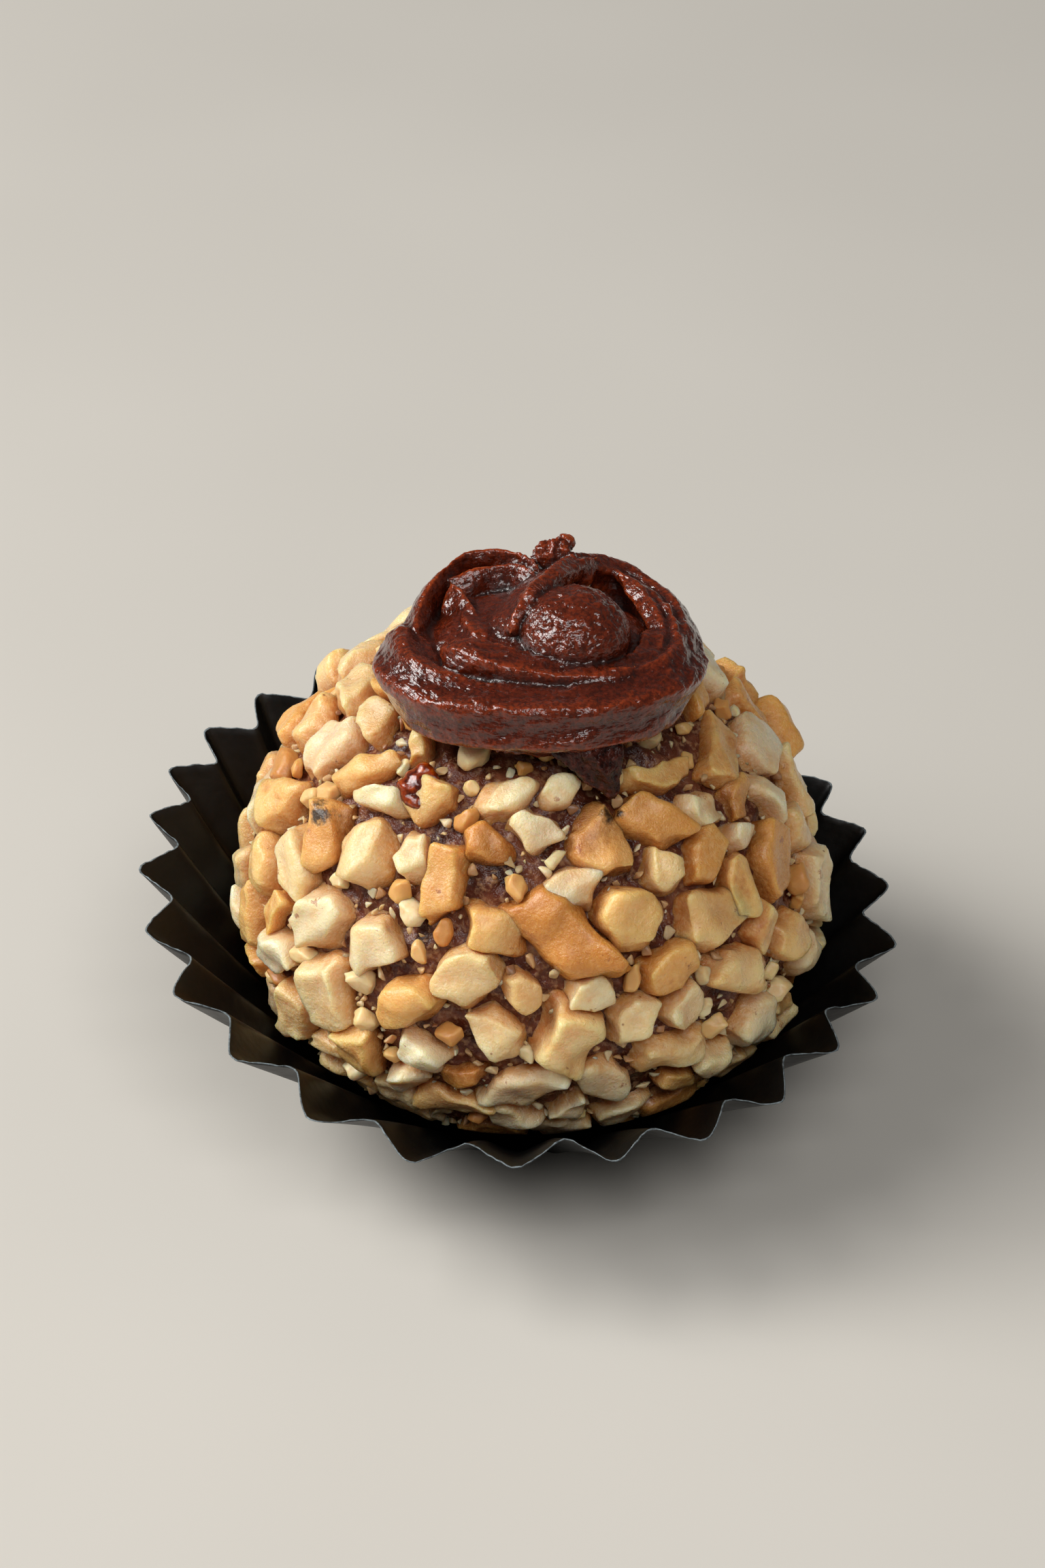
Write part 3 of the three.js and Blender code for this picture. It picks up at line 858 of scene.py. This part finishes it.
# Chips and crumbs: the same waxy flesh, clearer because they are thin, some browned right through.
for name, places, shapes, tones in (
    ("nut_chips", chip_places, chip_shapes, ("#f3e0b4", "#ebcb92", "#dba45c", "#b9783e")),
    ("nut_crumbs", crumb_places, crumb_shapes, ("#ead6b2", "#d6b385", "#b58a5f", "#83573a")),
):
    bit_flesh, tree, place = new_material(name[:-1] + "_flesh")
    tone = carried(tree, "tone")
    mottle = noise_at(tree, place, 0.6, 3, 0.6)
    colour = ramp(tree, tone, (0.0, tones[0]), (0.45, tones[1]), (0.8, tones[2]), (1.0, tones[3]))
    colour = mixed(tree, ramp(tree, mottle, (0.45, 0.0), (0.75, 0.5)), colour, tones[2])
    finish_material(
        tree,
        {
            "Base Color": colour,
            "Roughness": ramp(tree, mottle, (0.3, 0.3), (0.7, 0.5)),
            "Subsurface Weight": 0.7,
            "Subsurface Radius": (1.0, 0.55, 0.25),
            "Subsurface Scale": 0.8 * MM,
            "Normal": bump(tree, mottle, 0.07),
        },
    )
    bits = scattered(name, places, shapes, bit_flesh, BIT_BENDS, BIT_LUMPS)
    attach(bits, "root")
    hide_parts("nut_ball")

# The shapes that the nuts and crumbs were made from aren't part of the sweet.
for shapes in (nut_shapes, chip_shapes, crumb_shapes):
    for shape in list(shapes.objects):
        bpy.data.objects.remove(shape)
    bpy.data.collections.remove(shapes)
bpy.data.node_groups.remove(scatter)

# --------------------------------------------------------------------------------------------------
# The rosette. Dark chocolate fudge piped through a star nozzle in one winding rope: round the front
# and the right side, over the back and across the top. The nozzle's points left sharp ridges, and
# where the soft fudge was drawn thin it stands up in lips like rose petals.
STRAND_AROUND = 60
STRAND_STEP = 0.2
STRAND_ENDS = 14  # a strand is at its full width from a 14th of its length on
LIP_ENDS = 8
NOZZLE_POINTS = 5
FIRST_RIDGE = 54.0  # degrees
ROSETTE_GRAIN = 0.1
ROSETTE_KEPT = 0.72
STREAK_TURN = 0.17  # radians that a furrow winds round the rope in a millimetre
STREAK_STRETCH = 6
STREAK_SIZE = 0.55
PIT_SIZE = 0.34
TURN_PITS = 0.05  # how deep the pits are in the turns, the dome and the peak
DOME_PITS = 0.09
PEAK_PITS = 0.2
WAVE_SIZE = 1.5
WAVE_HEIGHT = 0.13
RAG_SIZE = 0.7
PROUD_ROUNDS = 60
# The painted light follows how proud the chocolate stands: a red glow at its edges, shade in
# creases.
REDDER_PER_MM = 1.9  # how fast the chocolate turns red where it stands proud
UNDER_ROSETTE = 16.9
BED = ((0.2, -1.6, 16.2), (7.4, 7.0, 6.0))
BED_TOP = 17.7
ROSETTE_TOP = 21.5
PEAK_CRUMBS = 9
PEAK_SPREAD = (1.0, 0.7, 0.6)
PEAK_CRUMB_RADII = (0.3, 0.6)
# The rope's turns. Each line runs along its middle, with its radius, and may turn the first ridge.
OUTER_TURN = [
    (-7.0, 1.2, 16.8, 0.9, 110),
    (-7.3, -1.9, 16.9, 1.5, 108),
    (-6.7, -5.0, 16.9, 1.8, 96),
    (-4.5, -7.3, 16.8, 1.8, 72),
    (-1.0, -8.2, 16.9, 1.8, 56),
    (2.0, -8.1, 17.0, 1.8, 56),
    (4.9, -6.6, 17.0, 1.8, 68),
    (6.8, -4.2, 17.0, 1.8, 90),
    (7.4, -1.2, 17.0, 1.6, 104),
    (7.0, 1.7, 17.1, 1.4, 108),
    (5.8, 3.9, 17.3, 1.2, 110),
    (4.0, 4.9, 17.9, 1.1, 110),
    (2.1, 4.0, 19.0, 0.9, 110),
    (0.9, 1.3, 20.3, 0.7, 110),
    (-0.3, -1.2, 20.7, 0.6, 110),
    (-1.2, -2.9, 20.3, 0.6, 110),
    (-1.7, -4.0, 19.6, 0.5, 110),
]
LEFT_PETAL = [
    (-6.2, -3.8, 18.2, 0.8),
    (-6.0, -1.1, 18.2, 1.0),
    (-5.4, 2.1, 17.8, 1.1),
    (-4.0, 4.3, 17.6, 1.2),
    (-2.3, 4.9, 17.8, 1.2),
    (-0.8, 4.3, 18.2, 1.1),
    (1.0, 4.2, 18.6, 1.0),
]
INNER_TURN = [
    (-5.4, -4.3, 18.6, 1.0),
    (-2.9, -5.5, 18.2, 1.5),
    (0.0, -6.2, 18.0, 1.5),
    (2.8, -6.3, 18.0, 1.4),
    (5.0, -5.2, 17.9, 1.2),
    (6.0, -3.4, 18.1, 1.0),
    (6.1, -1.1, 18.3, 0.9),
]
RIB = [
    (-4.2, 1.4, 18.7, 0.7),
    (-4.0, -0.8, 18.8, 0.8),
    (-3.3, -2.9, 19.0, 1.0),
    (-2.1, -4.2, 18.5, 1.0),
]
DOME = ((1.8, -2.8, 19.1), (3.1, 3.1, 2.4))
PITTED_DOME = (3.6, 3.4, 3.0)
PEAK = ((0.4, 4.1, 19.7), (1.1, 0.9, 1.0))
# The lips. Each line is a lip's upper edge, and the last value is how deep the lip reaches.
LEFT_PETAL_LIP = [
    (-6.6, -2.9, 17.9, 1.0),
    (-6.8, -1.1, 18.6, 1.6),
    (-6.4, 0.9, 19.1, 2.2),
    (-5.6, 2.5, 19.5, 2.6),
    (-4.5, 4.0, 19.7, 2.8),
    (-3.0, 4.4, 19.8, 2.8),
    (-1.4, 4.0, 19.9, 2.4),
    (-0.3, 2.8, 20.0, 2.0),
]
INNER_PETAL_LIP = [
    (-5.2, 2.4, 19.1, 1.6),
    (-4.1, 2.9, 19.3, 2.0),
    (-2.9, 3.3, 19.4, 2.2),
    (-1.6, 3.4, 19.6, 2.0),
    (-0.5, 2.3, 19.9, 1.8),
]
LEAF_LIP = [
    (-5.1, 1.6, 19.3, 1.8),
    (-4.4, 0.6, 19.4, 2.2),
    (-3.7, -1.0, 19.2, 2.2),
    (-3.2, -2.3, 18.9, 1.8),
    (-2.3, -3.4, 18.6, 1.4),
]
CROSSING_LIP = [
    (3.0, 3.9, 20.0, 1.8),
    (1.9, 2.8, 20.4, 2.2),
    (0.9, 1.7, 20.7, 2.6),
    (0.2, 0.2, 20.9, 2.6),
    (-0.3, -1.1, 20.9, 2.4),
    (-0.9, -2.5, 20.7, 2.2),
    (-1.4, -3.8, 20.2, 1.8),
]
RIGHT_LIP = [
    (5.4, -7.4, 18.1, 1.0),
    (6.5, -6.3, 18.4, 1.1),
    (7.1, -4.9, 18.6, 1.2),
    (7.4, -2.5, 18.8, 1.2),
    (7.2, -0.1, 18.9, 1.2),
    (6.6, 1.3, 19.0, 1.2),
    (5.8, 2.5, 19.0, 1.1),
    (4.8, 3.6, 19.0, 0.9),
    (3.8, 4.4, 19.1, 0.6),
]
SECOND_RIDGE = [
    (5.8, -7.0, 17.6, 0.5),
    (6.4, -5.6, 18.2, 0.7),
    (6.6, -3.8, 18.6, 0.8),
    (6.7, -2.0, 18.8, 0.8),
    (6.4, -0.2, 19.0, 0.8),
    (5.8, 1.5, 19.1, 0.8),
    (5.0, 2.9, 19.2, 0.7),
    (4.2, 3.8, 19.2, 0.5),
]
RED_LIP = [
    (2.3, -7.1, 18.7, 0.8),
    (3.2, -6.5, 19.1, 1.0),
    (4.1, -6.1, 19.2, 1.0),
    (5.2, -5.8, 19.2, 0.9),
]


def smooth_line(line, step):
    """Points along a curve through the given ones, with their radii."""
    line = np.array(line)
    knots = np.vstack([2 * line[0] - line[1], line, 2 * line[-1] - line[-2]])
    result = []
    for a, b, c, d in zip(knots, knots[1:], knots[2:], knots[3:]):
        count = max(2, int(np.linalg.norm(c[:3] - b[:3]) / step))
        for t in np.arange(count) / count:
            point = 2 * b + (c - a) * t
            point = point + (2 * a - 5 * b + 4 * c - d) * t**2
            result.append(0.5 * (point + (3 * b - a - 3 * c + d) * t**3))
    return np.array(result + [knots[-2]])


def tapered(count, ends, least):
    """From least at both ends of a line to 1 along its middle."""
    share = np.linspace(0, 1, count)[:, None]
    return np.sqrt(np.clip(np.minimum(share, 1 - share) * ends, least, 1))


def strand(line, groove=0.2, sharp=0.8, streaks=0.0):
    """A closed rope along a line, with ridges. A fifth value at each point turns the first ridge.

    Ridges are cusps where sharp is under 1. Streaks are the height of fine furrows that wind along
    the rope.
    """
    path = smooth_line(line, STRAND_STEP)
    tangent = np.gradient(path[:, :3], axis=0)
    tangent /= np.linalg.norm(tangent, axis=1)[:, None]
    side = np.cross([0, 0, 1], tangent)
    side /= np.linalg.norm(side, axis=1)[:, None]
    up = np.cross(tangent, side)
    turn = np.arange(STRAND_AROUND) / STRAND_AROUND * 2 * math.pi
    first = path[:, 4:] if path.shape[1] > 4 else np.full((len(path), 1), FIRST_RIDGE)
    valley = np.abs(np.sin(NOZZLE_POINTS / 2 * (turn - np.radians(first)))) ** sharp
    taper = tapered(len(path), STRAND_ENDS, 0.02)
    radius = path[:, 3:4] * taper * (1.04 + 0.3 * groove - groove * valley)
    length = np.arange(len(path))[:, None] * STRAND_STEP
    wound = turn + STREAK_TURN * length
    along = 0 * wound + length / STREAK_STRETCH
    furrows = np.stack([radius * np.cos(wound), radius * np.sin(wound), along], 2)
    height = lumps(furrows.reshape(-1, 3), STREAK_SIZE, 5, 2).reshape(radius.shape)
    radius = radius + streaks * taper * height
    ring = (
        path[:, None, :3]
        + side[:, None] * (radius * np.cos(turn))[:, :, None]
        + up[:, None] * (radius * np.sin(turn))[:, :, None]
    )
    return ring.reshape(-1, 3), closed_tube(len(path))


def closed_tube(rows):
    """The faces of a tube with both its ends closed."""
    faces = tube_faces(rows, STRAND_AROUND)
    faces.append(list(range(STRAND_AROUND))[::-1])
    faces.append(list(range((rows - 1) * STRAND_AROUND, rows * STRAND_AROUND)))
    return faces


def lip(line, foot, lean=0.0, edge=0.26, ragged=0.0):
    """A wall that hangs from a line, thin at its edge, foot mm thick below, leaning to one side."""
    path = smooth_line(line, STRAND_STEP)
    path[:, 2] += ragged * lumps(path[:, :3], RAG_SIZE, 7, 2)
    tangent = np.gradient(path[:, :3], axis=0)
    side = np.cross([0, 0, 1], tangent)
    side /= np.linalg.norm(side, axis=1)[:, None]
    turn = np.arange(STRAND_AROUND) / STRAND_AROUND * 2 * math.pi
    below = (1 - np.sin(turn)) / 2
    taper = tapered(len(path), LIP_ENDS, 0.05)
    depth = path[:, 3:] * below * (0.4 + 0.6 * taper)
    width = (edge + (foot - edge) * below) * np.cos(turn) * taper
    ring = path[:, None, :3] + side[:, None] * (width + lean * depth)[:, :, None]
    ring[:, :, 2] -= depth
    return ring.reshape(-1, 3), closed_tube(len(path))


def joined(parts):
    """The points and faces of several parts as one."""
    points, faces = [], []
    for part_points, part_faces in parts:
        start = sum(len(p) for p in points)
        points.append(part_points)
        faces += [[i + start for i in f] for f in part_faces]
    return np.concatenate(points), faces


def merged(name, parts, rounds):
    """One closed piece from parts that overlap, smoothed for some rounds."""
    piece = new_piece(name, *joined(parts))
    piece.modifiers.new("merge", "REMESH").voxel_size = ROSETTE_GRAIN * MM
    piece.modifiers.new("smooth", "SMOOTH").iterations = rounds
    apply_modifiers(piece)
    return piece


def dress(piece, finish):
    """Gives a remeshed piece its material and smooth shading."""
    piece.data.materials.clear()
    piece.data.materials.append(finish)
    piece.data.shade_smooth()


bed_points, bed_faces = blob(*BED)
depth = np.linalg.norm(bed_points, axis=1)
bed_points *= (np.clip(depth, UNDER_ROSETTE, BED_TOP) / depth)[:, None]
parts = [
    strand(OUTER_TURN, 0.2, 1.2, 0.12),
    strand([(x, y, z - 1.1, 0.75 * r) for x, y, z, r in LEFT_PETAL], 0.1),
    strand([(x, y + 0.15, z, 0.92 * r) for x, y, z, r in INNER_TURN], 0.2, 1.0, 0.12),
    strand([(x, y, z - 0.5, 0.8 * r) for x, y, z, r in RIB], 0.15),
    lip(LEFT_PETAL_LIP, 1.0, 0.1),
    lip(INNER_PETAL_LIP, 0.7, -0.2),
    lip(LEAF_LIP, 1.1, -0.2),
    lip(CROSSING_LIP, 1.8, -0.5),
    lip(RIGHT_LIP, 0.8, 0.1, ragged=0.22),
    lip(SECOND_RIDGE, 0.9, 0.1, 0.2, 0.08),
    lip(RED_LIP, 0.6, 0.2),
    blob(*DOME),
    blob(*PEAK, 3),
    (bed_points, bed_faces),
    blob(SEAT_MIDDLE, SEAT_RADII),
]
for _ in range(PEAK_CRUMBS):
    at = np.array(PEAK[0]) + rng.uniform(-1, 1, 3) * PEAK_SPREAD
    parts.append(blob(at, rng.uniform(*PEAK_CRUMB_RADII, 3), 2))
rosette = merged("piped_rosette", parts, 3)


def edges_of(piece):
    """The two ends of each of a piece's edges."""
    flat = np.zeros(len(piece.data.edges) * 2, dtype=np.int32)
    piece.data.edges.foreach_get("vertices", flat)
    return flat.reshape(-1, 2)


def softened(points, edges, rounds):
    """Points averaged with their neighbours again and again."""
    a, b = edges.T
    count = np.bincount(edges.ravel(), minlength=len(points))[:, None]
    for _ in range(rounds):
        total = np.zeros_like(points)
        for k in range(3):
            total[:, k] = np.bincount(a, points[b, k], len(points))
            total[:, k] += np.bincount(b, points[a, k], len(points))
        points = 0.5 * points + 0.5 * total / count
    return points


def normals_of(piece):
    """The outward way at each of a piece's points."""
    flat = np.zeros(len(piece.data.vertices) * 3)
    piece.data.vertices.foreach_get("normal", flat)
    return flat.reshape(-1, 3)


def roughened(piece, size, seed, height):
    """A piece's points, moved in and out by lumps of a size and a height."""
    points = points_of(piece)
    return points + normals_of(piece) * (lumps(points, size, seed, 2) * height)[:, None]


# How far the chocolate stands proud at each point. Its colour paints light from this: near-black as
# painted shade in creases and hollows, and red as a painted glow of light coming through its edges.
points = points_of(rosette)
edges = edges_of(rosette)
normals = normals_of(rosette)
proud = ((points - softened(points, edges, PROUD_ROUNDS)) * normals).sum(1)
upward = np.clip(0.35 + 0.65 * normals[:, 2], 0.2, 1)
on_the_peak = np.clip(2.2 - np.linalg.norm((points - PEAK[0]) / PEAK[1], axis=1), 0, 1)
in_the_dome = np.clip(1.4 - np.linalg.norm((points - DOME[0]) / PITTED_DOME, axis=1), 0, 1)
pit_depth = TURN_PITS * upward + DOME_PITS * in_the_dome + PEAK_PITS * on_the_peak
pits = lumps(points, PIT_SIZE, 4, 2) * pit_depth + lumps(points, WAVE_SIZE, 6, 2) * WAVE_HEIGHT
points += normals * pits[:, None]
points[:, 2] = np.minimum(points[:, 2], ROSETTE_TOP)
points[:, 2] += BALL_HEIGHT
move_points(rosette, points)
# The thin value sets the painted shade in creases and the painted red glow at proud edges.
thin = rosette.data.attributes.new("thin", "FLOAT", "POINT")
thin.data.foreach_set("value", np.clip(0.5 + proud * REDDER_PER_MM, 0, 1))
rosette.modifiers.new("fewer", "DECIMATE").ratio = ROSETTE_KEPT
apply_modifiers(rosette)

# Chocolate: painted nearly black in its creases, hollows and pits as painted shade, red-brown at
# its proud edges as a painted glow of light coming through, wet and finely furrowed.
ROSETTE_MIDDLE = (0.1, -1.7)
FURROW_SIZE = 0.32
FURROW_ROUND = 2.0  # a furrow on a turn of 8 mm radius is 8 / 2 times as long as it is wide
chocolate, tree, place = new_material("wet_dark_chocolate")
painted_shade_and_glow = carried(tree, "thin")
middle = (ROSETTE_MIDDLE[0] * MM, ROSETTE_MIDDLE[1] * MM, 0)
off_middle = vector_math(tree, "SUBTRACT", {0: place, 1: middle})
flat = vector_math(tree, "MULTIPLY", {0: off_middle, 1: (1, 1, 0)})
outward = vector_math(tree, "LENGTH", {0: flat}, "Value")
way = vector_math(tree, "NORMALIZE", {0: flat})
way = vector_math(tree, "SCALE", {0: way, "Scale": FURROW_ROUND * MM})
outward = add_node(tree, "ShaderNodeCombineXYZ", {"Z": outward}).outputs["Vector"]
round_middle = vector_math(tree, "ADD", {0: way, 1: outward})
height = add_node(tree, "ShaderNodeSeparateXYZ", {"Vector": off_middle}).outputs["Z"]
inputs = {
    "Vector": round_middle,
    "W": height,
    "Scale": 1 / (FURROW_SIZE * MM),
    "Detail": 2.0,
    "Roughness": 0.6,
}
furrow = add_node(tree, "ShaderNodeTexNoise", inputs, noise_dimensions="4D").outputs["Fac"]
pit = noise_at(tree, place, 0.24, 2, 0.6)
ripple = noise_at(tree, place, 0.9, 2)
# Painted shade: near-black in creases and hollows. Painted glow: red where the chocolate stands
# proud.
colour = ramp(
    tree, painted_shade_and_glow, (0.2, "#130401"), (0.5, "#5b1d0a"), (0.7, "#853212"), (0.88, "#a74819")
)
# Painted shade: near-black in the pits of the surface, where the bump sinks in.
colour = mixed(tree, ramp(tree, pit, (0.4, 0.6), (0.6, 0.0)), colour, "#1c0602")
chocolate_bump = bump(tree, pit, 0.045, 1.0)
chocolate_bump = bump(tree, furrow, 0.09, 1.0, chocolate_bump)
chocolate_bump = bump(tree, ripple, 0.16, 0.7, chocolate_bump)
finish_material(
    tree,
    {
        "Base Color": colour,
        "Roughness": ramp(tree, painted_shade_and_glow, (0.2, 0.6), (0.42, 0.24)),
        "Subsurface Weight": 0.35,
        "Subsurface Radius": (1.0, 0.3, 0.12),
        "Subsurface Scale": 0.7 * MM,
        "Specular IOR Level": 0.2,
        "Coat Weight": 0.9,
        "Coat Roughness": 0.12,
        "Normal": chocolate_bump,
        "Coat Normal": chocolate_bump,
    },
)
dress(rosette, chocolate)
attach(rosette, "root")
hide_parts("chocolate_rosette")

# --------------------------------------------------------------------------------------------------
# The tail. What the rope left under its right front side when the piping began: crumbly dark fudge,
# purple-brown and glistening, pressed into the gap between the nuts.
tail_fudge, tree, place = new_material("crumbly_dark_fudge")
grains = noise_at(tree, place, 0.35, 3, 0.6)
finish_material(
    tree,
    {
        "Base Color": ramp(tree, grains, (0.3, "#160502"), (0.5, "#351007"), (0.7, "#57261a")),
        "Roughness": ramp(tree, grains, (0.35, 0.14), (0.65, 0.3)),
        "Subsurface Weight": 0.2,
        "Subsurface Radius": (1.0, 0.35, 0.2),
        "Subsurface Scale": 0.5 * MM,
        "Specular IOR Level": 0.25,
        "Normal": bump(tree, grains, 0.14),
    },
)
TAIL_CRUMBS = 14
TAIL_CRUMB_RADII = (0.3, 0.55)
TAIL_SHIFT = -0.3
TAIL_END = [(4.4, -9.4, 13.7, 0.6), (4.7, -9.7, 13.1, 0.3)]
TAIL_LEFT = [
    (1.3, -8.0, 15.9, 1.0),
    (2.6, -8.8, 15.2, 0.9),
    (3.8, -9.3, 14.3, 0.6),
    (4.5, -9.6, 13.5, 0.3),
]
parts = [strand([*DRIP[:3], *TAIL_END], 0.3), strand(TAIL_LEFT, 0.2)]
for _ in range(TAIL_CRUMBS):
    *middle, size = DRIP[rng.randint(len(DRIP) - 1)]
    at = Vector(rng.normal(size=3)).normalized() * size * 0.85
    parts.append(blob(np.array(middle) + at, rng.uniform(*TAIL_CRUMB_RADII, 3), 2))
tail = merged("rosette_tail", parts, 2)
move_points(tail, roughened(tail, 0.5, 8, 0.1) + (TAIL_SHIFT, 0, BALL_HEIGHT))
dress(tail, tail_fudge)
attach(tail, "root")
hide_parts("chocolate_rosette")

# --------------------------------------------------------------------------------------------------
# The smear. A little cooked syrup that ran from the fudge between the nuts at the front and set
# there, dark red, and clear at its edges.
SMEAR_MIDDLE = (-6.1, -8.4, 12.7)
SMEAR_RADII = (0.7, 1.2, 0.75)
SMEAR_SPREAD = (1.15, 0.35, 0.1)
SMEAR_TURN = 80  # degrees
SMEAR_LUMPS = 9
syrup, tree, place = new_material("dark_red_syrup")
ripple = noise_at(tree, place, 0.5, 2)
finish_material(
    tree,
    {
        "Base Color": ramp(tree, ripple, (0.35, "#431103"), (0.55, "#8a3005"), (0.7, "#b95a10")),
        "Roughness": 0.22,
        "Subsurface Weight": 0.6,
        "Subsurface Radius": (1.0, 0.25, 0.05),
        "Subsurface Scale": 0.9 * MM,
        "Coat Weight": 0.3,
        "Coat Roughness": 0.1,
        "Normal": bump(tree, ripple, 0.07),
    },
)
outward = Vector(SMEAR_MIDDLE).normalized()
lie = np.array(frame_at(outward, math.radians(SMEAR_TURN)))
parts = []
for _ in range(SMEAR_LUMPS):
    offset = rng.uniform(-1, 1, 3) * SMEAR_SPREAD
    ball_points, faces = blob((0, 0, 0), rng.uniform(0.5, 1.0, 3) * SMEAR_RADII[::-1], 3)
    parts.append(((ball_points + offset) @ lie.T + SMEAR_MIDDLE, faces))
smear = merged("syrup_smear", parts, 16)
move_points(smear, seated(roughened(smear, 0.6, 9, 0.07)))
dress(smear, syrup)
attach(smear, "root")
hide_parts("nut_ball")

# --------------------------------------------------------------------------------------------------
# The floor, the light and the camera. A plain pale floor, a wide soft window at the upper left, and
# a camera that looks down on the sweet.
FLOOR_REACH = 900
floor_paint, tree, place = new_material("plain_pale_floor")
floor_tone = noise_at(tree, place, 60, 2)
finish_material(
    tree,
    {"Base Color": ramp(tree, floor_tone, (0.3, "#cfcac1"), (0.7, "#d5d0c7")), "Roughness": 0.45},
)
corners = FLOOR_REACH * np.array([(-1, -1, 0), (1, -1, 0), (1, 1, 0), (-1, 1, 0)])
floor = new_piece("floor", corners, [(0, 1, 2, 3)])
floor.data.materials.append(floor_paint)

world = bpy.data.worlds.new("soft_room")
world.use_nodes = True
background = world.node_tree.nodes["Background"].inputs
background["Color"].default_value = linear("#eeeeee")
background["Strength"].default_value = 0.1
scene.world = world

BALL_MIDDLE = Vector((0, 0, BALL_HEIGHT * MM))


def area_light(name, position, size, energy, colour):
    """A soft lamp that faces the ball, placed and sized in metres."""
    data = bpy.data.lights.new(name, "AREA")
    data.shape = "RECTANGLE"
    data.size, data.size_y = size
    data.energy = energy
    data.color = linear(colour)[:3]
    light = bpy.data.objects.new(name, data)
    light.location = position
    light.rotation_euler = (Vector(position) - BALL_MIDDLE).to_track_quat("Z", "Y").to_euler()
    scene.collection.objects.link(light)


area_light("window", (-0.48, 0.05, 0.43), (0.28, 0.28), 3.25, "#fffefc")
area_light("window_side", (-0.42, -0.2, 0.42), (0.2, 0.3), 1.1, "#ffffff")
area_light("front_fill", (0.09, -0.39, 0.56), (0.4, 0.3), 1.8, "#ffffff")

LENS_MM = 100
SENSOR_MM = 36
IMAGE = (1536, 2304)
BALL_PIXEL = (778, 1302)
DISTANCE = 0.25  # metres
ELEVATION = math.radians(36)
ROLL = math.radians(2.6)
camera_data = bpy.data.cameras.new("camera")
camera_data.lens = LENS_MM
camera_data.sensor_width = SENSOR_MM
camera_data.clip_start = 0.01
camera = bpy.data.objects.new("camera", camera_data)
toward = Vector((0, math.cos(ELEVATION), -math.sin(ELEVATION)))
level = toward.cross(Vector((0, 0, 1))).normalized()
upright = level.cross(toward)
right = level * math.cos(ROLL) + upright * math.sin(ROLL)
up = upright * math.cos(ROLL) - level * math.sin(ROLL)
focal = LENS_MM / SENSOR_MM * IMAGE[1]
seen = Vector((BALL_PIXEL[0] - IMAGE[0] / 2, IMAGE[1] / 2 - BALL_PIXEL[1], -focal))
aim = seen.rotation_difference(Vector((0, 0, -1))).to_matrix()
camera.matrix_world = Matrix.Translation(BALL_MIDDLE - DISTANCE * toward) @ (
    Matrix((right, up, -toward)).transposed() @ aim
).to_4x4()
scene.collection.objects.link(camera)
scene.camera = camera
scene.view_settings.view_transform = "Standard"
